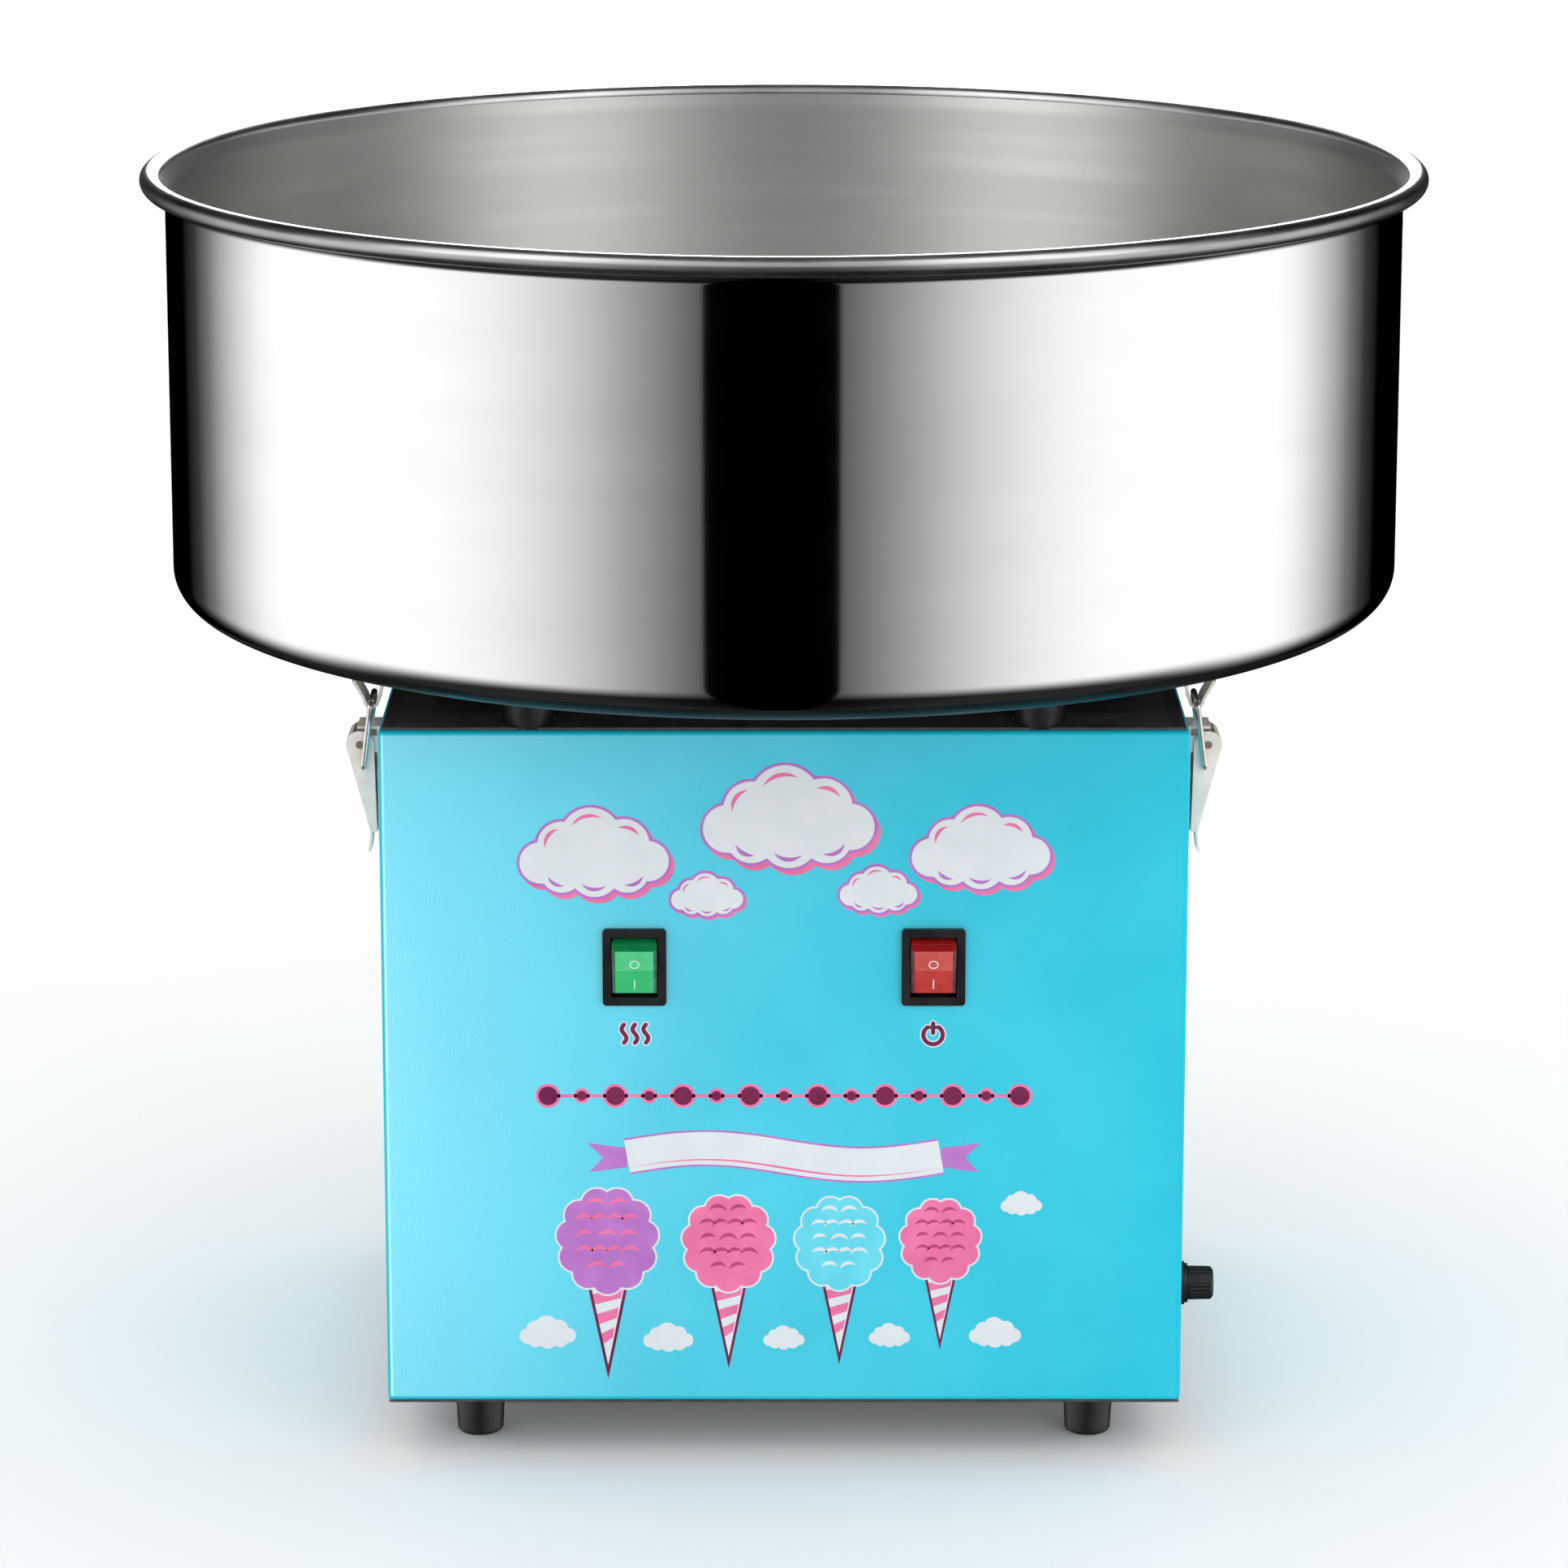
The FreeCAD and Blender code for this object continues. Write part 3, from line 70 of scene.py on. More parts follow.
def make_camera():
    data = bpy.data.cameras.new("camera")
    data.sensor_width = CAMERA_SENSOR
    data.lens = CAMERA_LENS
    data.shift_y = CAMERA_SHIFT
    camera = bpy.data.objects.new("camera", data)
    camera.location = CAMERA_PLACE
    camera.rotation_euler = (radians(90 - CAMERA_DOWN), 0, 0)
    bpy.context.scene.collection.objects.link(camera)
    bpy.context.scene.camera = camera


# Brightness seen in the mirror-bright bowl, by angle from the front of the machine, in degrees
STUDIO = (
    (0, 0.0), (12, 0.0), (12.7, 0.12), (17, 0.20), (22, 0.30), (27, 0.41), (31, 0.52), (36, 0.64),
    (41, 0.75), (47, 0.87), (52, 0.96), (62, 1.06), (74, 1.10), (103, 1.10), (109, 1.0), (113, 0.85),
    (119, 0.62), (124, 0.42), (130, 0.18), (137, 0.04), (145, 0.0), (180, 0.0),
)
# The same from above, where the satin inside of the bowl looks
STUDIO_ABOVE = (
    (0, 0.64), (10, 0.66), (22, 0.95), (34, 1.90), (46, 2.80), (58, 2.70), (68, 1.80), (78, 0.80),
    (88, 0.20), (100, 0.03), (115, 0.0), (145, 0.0), (165, 0.10), (180, 0.25),
)
AIM = 2.2                                   # degrees that the bands are turned from the front
SEEN_LEVEL = (1, 1, 1, 1)                   # what the camera sees behind the machine
MATT_LEVEL = (1.12, 1.12, 1.12, 1)          # what lights matt surfaces
OVERHEAD_LEVEL = (0.10, 0.10, 0.10, 1)      # what mirrors see high up
BELOW_LEVEL = 0.02                          # the share of the bands that mirrors see far below
# Elevations, in degrees, between which one zone of the studio gives way to the next
TO_BANDS = (-50, -17)
TO_BANDS_ABOVE = (4, 20)
TO_OVERHEAD = (54, 70)


def make_world():
    world = bpy.data.worlds.new("studio")
    world.use_nodes = True
    world.cycles.sampling_method = "NONE"
    tree = world.node_tree
    tree.nodes.clear()

    def node(kind, **settings):
        made = tree.nodes.new(kind)
        for key, value in settings.items():
            setattr(made, key, value)
        return made

    def maths(operation, a, b=None):
        made = node("ShaderNodeMath", operation=operation)
        for socket, value in zip(made.inputs, (a, b)):
            if isinstance(value, bpy.types.NodeSocket):
                tree.links.new(value, socket)
            elif value is not None:
                socket.default_value = value
        return made.outputs[0]

    def mixed(factor, a, b):
        made = node("ShaderNodeMix", data_type="RGBA")
        for socket, value in zip((made.inputs[0], made.inputs[6], made.inputs[7]), (factor, a, b)):
            if isinstance(value, bpy.types.NodeSocket):
                tree.links.new(value, socket)
            else:
                socket.default_value = value
        return made.outputs[2]

    direction = node("ShaderNodeTexCoord").outputs["Generated"]
    split = node("ShaderNodeSeparateXYZ")
    tree.links.new(direction, split.inputs[0])
    x, y, z = split.outputs
    turn = maths("ARCTAN2", x, maths("MULTIPLY", y, -1))
    angle = maths("ABSOLUTE", maths("ADD", turn, radians(AIM)))
    share = maths("DIVIDE", angle, pi)

    def bands(levels):
        """A colour ramp over the angle from the front."""
        ramp = node("ShaderNodeValToRGB")
        tree.links.new(share, ramp.inputs[0])
        stops = ramp.color_ramp.elements
        for (degrees, level), stop in zip(levels, [stops[0], stops[1]] + [None] * len(levels)):
            if stop is None:
                stop = stops.new(degrees / 180)
            stop.position = degrees / 180
            stop.color = (level, level, level, 1)
        return ramp.outputs["Color"]

    def rising(elevations, least=0.0):
        """From least to 1 between two elevations."""
        made = node("ShaderNodeMapRange", interpolation_type="SMOOTHSTEP")
        tree.links.new(z, made.inputs["Value"])
        made.inputs["From Min"].default_value = sin(radians(elevations[0]))
        made.inputs["From Max"].default_value = sin(radians(elevations[1]))
        made.inputs["To Min"].default_value = least
        return made.outputs["Result"]

    all_round = mixed(rising(TO_BANDS_ABOVE), bands(STUDIO), bands(STUDIO_ABOVE))
    banded = mixed(rising(TO_BANDS, BELOW_LEVEL), (0, 0, 0, 1), all_round)
    glossy = mixed(rising(TO_OVERHEAD), banded, OVERHEAD_LEVEL)
    path = node("ShaderNodeLightPath")
    light = mixed(path.outputs["Is Glossy Ray"], MATT_LEVEL, glossy)
    seen = mixed(path.outputs["Is Camera Ray"], light, SEEN_LEVEL)
    background = node("ShaderNodeBackground")
    tree.links.new(seen, background.inputs["Color"])
    tree.links.new(background.outputs[0], node("ShaderNodeOutputWorld").inputs[0])
    bpy.context.scene.world = world


def area_light(name, position, target, size, power, glossy):
    """A round lamp that the camera doesn't see, aimed at target."""
    data = bpy.data.lights.new(name, "AREA")
    data.shape = "DISK"
    data.size = size
    data.energy = power
    lamp = bpy.data.objects.new(name, data)
    lamp.location = position
    lamp.rotation_euler = (Vector(target) - Vector(position)).to_track_quat("-Z", "Y").to_euler()
    lamp.visible_glossy = glossy
    lamp.visible_camera = False
    bpy.context.scene.collection.objects.link(lamp)
    return lamp


def shine_on(lamp, name, pieces):
    """The lamp shows as a reflection in these pieces and nowhere else."""
    chosen = bpy.data.collections.new(name)
    for piece in pieces:
        chosen.objects.link(piece)
    lamp.visible_diffuse = False
    lamp.light_linking.receiver_collection = chosen
    return chosen


# ---------------------------------------------------------------- materials

def tone(red, green, blue):
    """A colour given as 0-255 display values, as linear light."""
    def linear(value):
        value /= 255
        # the sRGB curve
        return value / 12.92 if value <= 0.04045 else ((value + 0.055) / 1.055) ** 2.4
    return (linear(red), linear(green), linear(blue), 1)


PATCH_COLOURS = (0.35, 0.65)    # noise levels at which a patch has its dark and its light tone
PATCH_RANGE = (0.3, 0.7)        # noise levels over which the roughness changes
SHINE_SPREAD = 0.12             # how far the roughness wanders, as a share of it


def finish_of(name, light, dark, rough, mottle=60, bump_scale=900, bump=0.15, depth=0.05,
              stretch=(1, 1, 1), edge=0.0, ribs=0.0, spun=False, **shader):
    """A surface whose colour wanders between two tones, whose roughness varies and whose skin is uneven.
    The scales are in features per metre; depth, edge and ribs are in millimetres. A spun surface shines
    along lines turned about the vertical. shader holds plain socket values."""
    material = bpy.data.materials.new(name)
    material.use_nodes = True
    tree = material.node_tree
    principled = tree.nodes["Principled BSDF"]
    for key, value in shader.items():
        principled.inputs[key.replace("_", " ")].default_value = value

    def node(kind, **sockets):
        made = tree.nodes.new(kind)
        for key, value in sockets.items():
            socket = made.inputs[key.replace("_", " ")]
            if isinstance(value, bpy.types.NodeSocket):
                tree.links.new(value, socket)
            else:
                socket.default_value = value
        return made

    place = node("ShaderNodeMapping", Scale=stretch,
                 Vector=node("ShaderNodeTexCoord").outputs["Object"]).outputs[0]
    patches = node("ShaderNodeTexNoise", Vector=place, Scale=mottle, Detail=4.0)
    colours = tree.nodes.new("ShaderNodeValToRGB")
    for stop, position, colour in zip(colours.color_ramp.elements, PATCH_COLOURS, (dark, light)):
        stop.position = position
        stop.color = colour
    tree.links.new(patches.outputs["Fac"], colours.inputs[0])
    tree.links.new(colours.outputs[0], principled.inputs["Base Color"])
    grain = node("ShaderNodeTexNoise", Vector=place, Scale=bump_scale, Detail=3.0)
    shine = node("ShaderNodeMapRange", Value=patches.outputs["Fac"],
                 From_Min=PATCH_RANGE[0], From_Max=PATCH_RANGE[1],
                 To_Min=rough * (1 - SHINE_SPREAD), To_Max=rough * (1 + SHINE_SPREAD))
    tree.links.new(shine.outputs[0], principled.inputs["Roughness"])
    relief = node("ShaderNodeBump", Height=grain.outputs["Fac"], Strength=bump, Distance=depth * MM)
    if ribs:
        # a wave texture's bands lie tau / 20 of a unit apart at scale 1
        ribbing = node("ShaderNodeTexWave", Vector=place, Scale=tau / 20 / (ribs * MM))
        tree.links.new(ribbing.outputs["Fac"], relief.inputs["Height"])
    if spun:
        around = tree.nodes.new("ShaderNodeTangent")
        around.direction_type = "RADIAL"
        around.axis = "Z"
        tree.links.new(around.outputs[0], principled.inputs["Tangent"])
    if edge:
        rounded = tree.nodes.new("ShaderNodeBevel")
        rounded.samples = 4
        rounded.inputs["Radius"].default_value = edge * MM
        tree.links.new(rounded.outputs[0], relief.inputs["Normal"])
    tree.links.new(relief.outputs[0], principled.inputs["Normal"])
    return material


CYAN = finish_of("cyan_powder_coat", tone(14, 194, 219), tone(9, 189, 214), 0.37, mottle=14,
                 bump_scale=1300, bump=0.5, depth=0.06, edge=0.8, Specular_IOR_Level=0.20,
                 Coat_Weight=0.05, Coat_Roughness=0.3)
DECK = finish_of("black_textured_paint", tone(80, 78, 79), tone(64, 62, 64), 0.55, mottle=150,
                 bump_scale=1500, bump=0.6, depth=0.12, edge=0.6)
STEEL_OUT = finish_of("bowl_polished", (0.93, 0.93, 0.93, 1), (0.90, 0.90, 0.905, 1), 0.055, mottle=9,
                      bump_scale=500, bump=0.012, depth=0.02, stretch=(1, 1, 6), Metallic=1.0)
STEEL_IN = finish_of("bowl_satin", (0.90, 0.89, 0.87, 1), (0.84, 0.83, 0.81, 1), 0.58, mottle=10,
                     bump_scale=240, bump=0.05, depth=0.02, stretch=(0.15, 0.15, 8), spun=True,
                     Metallic=1.0, Anisotropic=0.97, Anisotropic_Rotation=0.25)
# Near-black steel for the downward-facing corner under the bowl: painted shade, standing for the dark
# reflection there
STEEL_UNDER_PAINTED_SHADE = finish_of("bowl_underside_painted_shade", (0.10, 0.10, 0.10, 1), (0.075, 0.075, 0.075, 1), 0.5, mottle=40,
                        bump_scale=400, bump=0.1, depth=0.03, Metallic=1.0)
STEEL = finish_of("stamped_stainless", (0.78, 0.78, 0.78, 1), (0.66, 0.66, 0.67, 1), 0.28, mottle=90,
                  bump_scale=900, bump=0.1, depth=0.03, stretch=(1, 1, 4), edge=0.2, Metallic=1.0)
STEEL_RIM = finish_of("bowl_rim_steel", (0.50, 0.50, 0.51, 1), (0.38, 0.38, 0.39, 1), 0.30, mottle=60,
                      bump_scale=500, bump=0.12, depth=0.04, stretch=(0.5, 0.5, 5), Metallic=1.0)
NICKEL = finish_of("latch_nickel", tone(248, 243, 236), tone(238, 231, 222), 0.36, mottle=140,
                   bump_scale=900, bump=0.12, depth=0.04, edge=0.3, Metallic=0.12)
PIN_STEEL = finish_of("latch_pin_steel", tone(176, 166, 156), tone(150, 140, 130), 0.35, mottle=200,
                      bump_scale=900, bump=0.12, depth=0.04, Metallic=0.5)
WIRE_NICKEL = finish_of("bail_bright_nickel", (0.86, 0.84, 0.80, 1), (0.74, 0.71, 0.66, 1), 0.2, mottle=200,
                        bump_scale=900, bump=0.08, depth=0.03, Metallic=0.9)
ZINC = finish_of("zinc_plated_steel", (0.70, 0.71, 0.72, 1), (0.55, 0.56, 0.58, 1), 0.32, mottle=130,
                 bump_scale=1100, bump=0.15, depth=0.04, edge=0.2, Metallic=1.0)
RUBBER = finish_of("black_rubber_skin", tone(38, 38, 40), tone(26, 26, 28), 0.38, mottle=220,
                   bump_scale=2200, bump=0.25, depth=0.05)
BLACK = finish_of("black_moulded_plastic", tone(34, 34, 36), tone(24, 24, 26), 0.36, mottle=90,
                  bump_scale=2600, bump=0.25, depth=0.04, edge=0.3)
GREY = finish_of("grey_moulded_plastic", tone(120, 122, 124), tone(104, 106, 108), 0.45, mottle=90,
                 bump_scale=2200, bump=0.2, depth=0.04, edge=0.3)
BRASS = finish_of("brass_blade", (0.78, 0.60, 0.30, 1), (0.66, 0.48, 0.22, 1), 0.25, mottle=160,
                  bump_scale=900, bump=0.1, edge=0.2, Metallic=1.0)
COPPER = finish_of("turned_copper", (0.80, 0.42, 0.28, 1), (0.62, 0.30, 0.19, 1), 0.28, mottle=90,
                   bump_scale=600, bump=0.15, stretch=(1, 1, 9), Metallic=1.0)
ALUMINIUM = finish_of("cast_aluminium", (0.80, 0.80, 0.81, 1), (0.68, 0.68, 0.69, 1), 0.34, mottle=110,
                      bump_scale=1400, bump=0.2, depth=0.05, edge=0.4, Metallic=1.0)
HEATER = finish_of("heater_ribbon_alloy", (0.42, 0.38, 0.35, 1), (0.22, 0.20, 0.20, 1), 0.38, mottle=140,
                   bump_scale=900, bump=0.15, Metallic=1.0)
CERAMIC = finish_of("glazed_ceramic", tone(238, 235, 226), tone(226, 222, 210), 0.22, mottle=150,
                    bump_scale=900, bump=0.12, Coat_Weight=0.4)
CARBON = finish_of("carbon_block", tone(40, 40, 42), tone(24, 24, 26), 0.55, mottle=400,
                   bump_scale=1800, bump=0.35, Metallic=0.3)
MOTOR = finish_of("motor_enamel", tone(52, 56, 62), tone(40, 43, 48), 0.40, mottle=40,
                  bump_scale=700, bump=0.3, edge=0.4)
GLASS = finish_of("fuse_glass_tube", (0.95, 0.97, 0.96, 1), (0.90, 0.93, 0.92, 1), 0.04, mottle=80,
                  bump_scale=500, bump=0.02, Transmission_Weight=0.9, IOR=1.5)
WIRE = finish_of("white_wire_jacket", tone(232, 231, 226), tone(220, 219, 213), 0.42, mottle=120,
                 bump_scale=1500, bump=0.15)
SLOTS = {
    "cyan_paint": CYAN, "deck_paint": DECK, "bowl_steel": STEEL, "latch_steel": NICKEL,
    "zinc_steel": ZINC, "black_rubber": RUBBER, "black_plastic": BLACK, "grey_plastic": GREY,
    "brass": BRASS, "copper": COPPER, "aluminium": ALUMINIUM, "heater_alloy": HEATER,
    "white_ceramic": CERAMIC, "carbon": CARBON, "motor_paint": MOTOR, "fuse_glass": GLASS,
    "white_wire": WIRE,
}


# ---------------------------------------------------------------- mesh tools

def new_object(name, bm, materials, crease=35):
    """A linked mesh object from bm, smooth except across edges sharper than crease degrees."""
    bmesh.ops.recalc_face_normals(bm, faces=bm.faces)
    mesh = bpy.data.meshes.new(name)
    bm.to_mesh(mesh)
    bm.free()
    for material in materials:
        mesh.materials.append(material)
    mesh.shade_smooth()
    mesh.set_sharp_from_angle(angle=radians(crease))
    made = bpy.data.objects.new(name, mesh)
    bpy.context.scene.collection.objects.link(made)
    return made


def settle(piece, body, slot, *nodes):
    """The piece moves with a body and stands for some CAD nodes, which are hidden; slot is not used."""
    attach(piece, body)
    if nodes:
        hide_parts(*nodes)
    return piece


def arc(cx, cz, radius, first, last, steps):
    """Points (across, up) along part of a circle, with angles in degrees."""
    return [(cx + radius * cos(radians(first + (last - first) * k / steps)),
             cz + radius * sin(radians(first + (last - first) * k / steps))) for k in range(steps + 1)]


def turned(bm, profile, segments, centre=(0, 0), band=None, ripple=None):
    """Adds a closed profile of (radius, height) in metres, turned about a vertical line. band gives a
    material to each edge of the profile, and ripple(angle) is added to the radius."""
    rings = []
    for k in range(segments):
        a = tau * k / segments
        ring = []
        for radius, height in profile:
            if ripple:
                radius += ripple(a)
            ring.append(bm.verts.new((centre[0] + radius * cos(a), centre[1] + radius * sin(a), height)))
        rings.append(ring)
    count = len(profile)
    for k in range(segments):
        here, there = rings[k], rings[(k + 1) % segments]
        for i in range(count):
            j = (i + 1) % count
            face = bm.faces.new((here[i], there[i], there[j], here[j]))
            if band:
                face.material_index = band[i]
    axis = [v for v in bm.verts if max(abs(v.co.x - centre[0]), abs(v.co.y - centre[1])) < SAME_PLACE / 10]
    bmesh.ops.remove_doubles(bm, verts=axis, dist=SAME_PLACE)


# ---------------------------------------------------------------- bowl

BOWL_SEGMENTS = 384


def make_bowl():
    """The spun sheet, and the rim rolled over its edge, which is returned."""
    low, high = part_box("floss_bowl")
    bead = 4 * MM                       # radius of the rolled rim
    ring = high.x - bead                # where the bead's middle runs
    ring_z = high.z - bead
    wall = 250 * MM
    sheet = 1 * MM
    corner = 14 * MM                    # from the wall to the floor
    collar = 80 * MM                    # the hole in the floor, with its edge turned up
    collar_top = low.z + 20 * MM
    collar_root = 2 * MM
    flare = ring_z - 7 * MM             # where the wall starts to turn out to the rim
    flare_in, flare_out = 5 * MM, 4 * MM
    tuck, half_neck = 3.3 * MM, 1.9 * MM
    floor_run = wall - corner - collar
    wall_run = flare - low.z - corner
    inside = [(collar, low.z)] + arc(collar + sheet / 2, collar_top - sheet / 2, sheet / 2, 180, 0, 8)
    inside += arc(collar + sheet + collar_root, low.z + sheet + collar_root, collar_root, 180, 270, 6)
    inside += [(collar + floor_run * k / 10, low.z + sheet) for k in range(1, 10)]
    inside += arc(wall - corner, low.z + corner, corner - sheet, -90, 0, 14)
    inside += [(wall - sheet, low.z + corner + wall_run * k / 8) for k in range(1, 8)]
    inside += arc(wall - sheet + flare_in, flare, flare_in, 180, 128, 8)
    neck = [(ring - tuck, ring_z + half_neck), (ring - tuck, ring_z - half_neck)]
    outside = arc(wall + flare_out, flare - sheet, flare_out, 140, 180, 8)
    outside += [(wall, flare - wall_run * k / 8) for k in range(1, 8)]
    outside += arc(wall - corner, low.z + corner, corner, 0, -90, 18)
    outside += [(wall - corner - floor_run * k / 6, low.z) for k in range(1, 6)]
    under = 17                          # the last faces of the outside, which look down and take near-black steel as painted shade
    band = [0] * (len(inside) + 1) + [1] * (len(outside) + 1 - under) + [2] * under
    bm = bmesh.new()
    turned(bm, inside + neck + outside, BOWL_SEGMENTS, band=band)
    bowl = new_object("spun_bowl", bm, (STEEL_IN, STEEL_OUT, STEEL_UNDER_PAINTED_SHADE), 50)
    settle(bowl, "bowl", "bowl_steel", "floss_bowl")
    bm = bmesh.new()
    turned(bm, arc(ring, ring_z, bead, 0, 352.5, 47), BOWL_SEGMENTS)
    return settle(new_object("rolled_rim", bm, (STEEL_RIM,)), "bowl", "bowl_steel")


# ---------------------------------------------------------------- posts and feet

def make_posts():
    """Four rubber posts, each with a groove under its rounded top and a softened foot."""
    low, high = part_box("bowl_posts")
    radius = 10 * MM
    lip = 1.2 * MM
    foot_in, foot_up = 0.3 * MM, 0.6 * MM
    groove = 0.5 * MM
    bm = bmesh.new()
    for sx in (-1, 1):
        for sy in (-1, 1):
            x = (high.x - radius) * sx
            y = (high.y - radius) * sy
            profile = [(0, low.z), (radius - foot_in, low.z), (radius, low.z + foot_up)]
            profile += [(radius, high.z - 6 * MM), (radius - groove, high.z - 5.4 * MM),
                        (radius - groove, high.z - 4.6 * MM), (radius, high.z - 4 * MM)]
            profile += arc(radius - lip, high.z - lip, lip, 0, 90, 6) + [(0, high.z)]
            turned(bm, profile, 64, (x, y))
    settle(new_object("rubber_posts", bm, (RUBBER,)), "cabinet", "black_rubber", "bowl_posts")


def make_feet():
    """Tapered rubber feet with a flange, a groove below it and a hollow for the screw."""
    taper, lip, bore, groove = 1.3 * MM, 1.5 * MM, 4.2 * MM, 0.35 * MM
    for name in CORNERS:
        low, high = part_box("foot_" + name)
        centre = ((low.x + high.x) / 2, (low.y + high.y) / 2)
        top = (high.x - low.x) / 2
        profile = [(bore, high.z), (top, high.z), (top, high.z - 2.5 * MM)]
        profile += [(top - groove, high.z - 3.1 * MM), (top - groove, high.z - 3.6 * MM)]
        profile += [(top - 0.2 * MM, high.z - 4.2 * MM)]
        profile += arc(top - taper - lip, lip, lip, 0, -90, 8)
        profile += [(bore + 1.5 * MM, 0), (bore + 0.6 * MM, 0.8 * MM), (bore, 5 * MM)]
        bm = bmesh.new()
        turned(bm, profile, 72, centre)
        foot = new_object("rubber_foot_" + name, bm, (RUBBER,))
        settle(foot, "cabinet", "black_rubber", "foot_" + name)


# ---------------------------------------------------------------- printed artwork on the front panel

def outline(discs, grow=0.0, steps=240):
    """The outer edge of overlapping discs (x, z, radius), seen from their middle."""
    mx = sum(d[0] for d in discs) / len(discs)
    mz = sum(d[1] for d in discs) / len(discs)
    points = []
    for k in range(steps):
        dx, dz = cos(tau * k / steps), sin(tau * k / steps)
        reach = 0
        for x, z, radius in discs:
            along = (x - mx) * dx + (z - mz) * dz
            aside = (x - mx) ** 2 + (z - mz) ** 2 - along ** 2
            if aside < (radius + grow) ** 2:
                reach = max(reach, along + sqrt((radius + grow) ** 2 - aside))
        points.append((mx + reach * dx, mz + reach * dz))
    return points


def stroke(points, width, taper=False, cap=True):
    """The outline of a line of that width; a tapered one runs to a point at both ends."""
    least = 0.01        # keeps the two sides of a point apart
    left, right = [], []
    last = len(points) - 1
    for k, (x, z) in enumerate(points):
        ax, az = points[max(k - 1, 0)]
        bx, bz = points[min(k + 1, last)]
        length = sqrt((bx - ax) ** 2 + (bz - az) ** 2)
        half = width / 2 * sin(pi * k / last) + least if taper else width / 2
        nx, nz = -(bz - az) / length * half, (bx - ax) / length * half
        left.append((x + nx, z + nz))
        right.append((x - nx, z - nz))
    if taper or not cap:
        return left + right[::-1]
    ends = []
    for (x, z), (px, pz) in ((points[-1], left[-1]), (points[0], right[0])):
        a = atan2(pz - z, px - x)
        ends.append([(x + width / 2 * cos(a - pi * k / 8), z + width / 2 * sin(a - pi * k / 8))
                     for k in range(1, 8)])
    return left + ends[0] + right[::-1] + ends[1]


class Print:
    """Layers of ink on the front panel. Shapes are lists of (x, z) in millimetres in the shared frame."""

    LEVEL_STEP = 0.03       # each level of ink stands this far in front of the one below it
    SUNK = 0.02             # how far every ink reaches into the panel

    def __init__(self):
        self.layers = {}
        self.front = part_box("cabinet_shell")[0].y

    def add(self, ink, level, shape):
        self.layers.setdefault(ink, []).append((level, shape))

    def bake(self, inks):
        """Makes one piece of each ink."""
        for ink, shapes in self.layers.items():
            bm = bmesh.new()
            for level, shape in shapes:
                face_y = self.front - self.LEVEL_STEP * (1 + level) * MM
                back_y = self.front + self.SUNK * MM
                face = [bm.verts.new((x * MM, face_y, z * MM)) for x, z in shape]
                back = [bm.verts.new((x * MM, back_y, z * MM)) for x, z in shape]
                for a, b, c in tessellate_polygon([[Vector((x, z, 0)) for x, z in shape]]):
                    bm.faces.new((face[a], face[b], face[c]))
                    bm.faces.new((back[c], back[b], back[a]))
                for k in range(len(shape)):
                    j = (k + 1) % len(shape)
                    bm.faces.new((face[k], face[j], back[j], back[k]))
            settle(new_object("print_" + ink, bm, (inks[ink],)), "cabinet", "cyan_paint")


# Puffs of a cloud (x, z, radius) and its curved strokes (x, z, radius, first and last angle)
PUFFS = ((-1.55, -0.15, 0.62), (-0.95, 0.38, 0.70), (-0.1, 0.62, 0.88), (0.85, 0.42, 0.74),
         (1.55, -0.10, 0.60), (0.95, -0.42, 0.62), (0.0, -0.45, 0.72), (-0.95, -0.42, 0.62))
CURLS = ((-0.95, 0.38, 0.48, 100, 190), (-0.1, 0.62, 0.64, 60, 150), (0.85, 0.42, 0.50, 30, 110),
         (-0.95, -0.42, 0.42, 200, 280), (0.0, -0.45, 0.50, 220, 310), (1.0, -0.40, 0.42, 250, 340))


def cloud(art, cx, cz, size, shaded=True):
    """A plain white cloud; a shaded one has a lilac edge, a pink shadow and curved strokes."""
    discs = [(cx + x * size, cz + z * size, r * size) for x, z, r in PUFFS]
    if shaded:
        art.add("pink", 0, outline([(x + 0.10 * size, z - 0.13 * size, r) for x, z, r in discs], 0.9))
        art.add("lilac", 1, outline(discs, 1.1))
    art.add("white", 2, outline(discs))
    if shaded:
        for x, z, r, first, last in CURLS:
            curl = arc(cx + x * size, cz + z * size, r * size, first, last, 16)
            art.add("pink" if z > 0 else "lilac", 3, stroke(curl, 0.11 * size, taper=True))


def floss_cone(art, cx, cz, size, ink, shade):
    """An upright striped paper cone with a round head of floss, both with an outline."""
    def placed(*points):
        return [(cx + x * size, cz + z * size) for x, z in points]

    # the cone, in heads' radii from the middle of the head
    half_top, top, tip = 0.42, -1.05, -3.15
    art.add("maroon", 0, placed((-0.52, -0.95), (0.52, -0.95), (0, tip - 0.35)))
    art.add("white", 1, placed((-half_top, top), (half_top, top), (0, tip)))
    for k in range(3):
        z = -1.35 - 0.5 * k
        upper = half_top * (z - tip) / (top - tip)
        lower = half_top * (z - 0.24 - tip) / (top - tip)
        art.add("pink", 2, placed((-upper, z), (upper, z + 0.16), (lower, z - 0.10), (-lower, z - 0.26)))
    lobes = 11
    discs = [(cx, cz, 1.02 * size)]
    for k in range(lobes):
        a = tau * (k + 0.25) / lobes
        discs.append((cx + 0.86 * size * cos(a), cz + 0.98 * size * sin(a), 0.36 * size))
    art.add("white", 3, outline(discs, 0.9))
    art.add(ink, 4, outline(discs, 0.15))
    for row, count in enumerate((2, 4, 3, 4, 2)):
        z = cz + (0.78 - 0.40 * row) * size
        reach = sqrt(max(0.05, 1.0 - ((z - cz) / size / 1.12) ** 2)) * 0.78
        for k in range(count):
            x = cx + reach * size * (2 * (k + 0.5) / count - 1)
            curl = arc(x, z, 0.26 * size, 25 + 12 * ((row + k) % 3), 150 + 9 * (k % 2), 10)
            art.add(shade, 5, stroke(curl, 0.10 * size, taper=True))


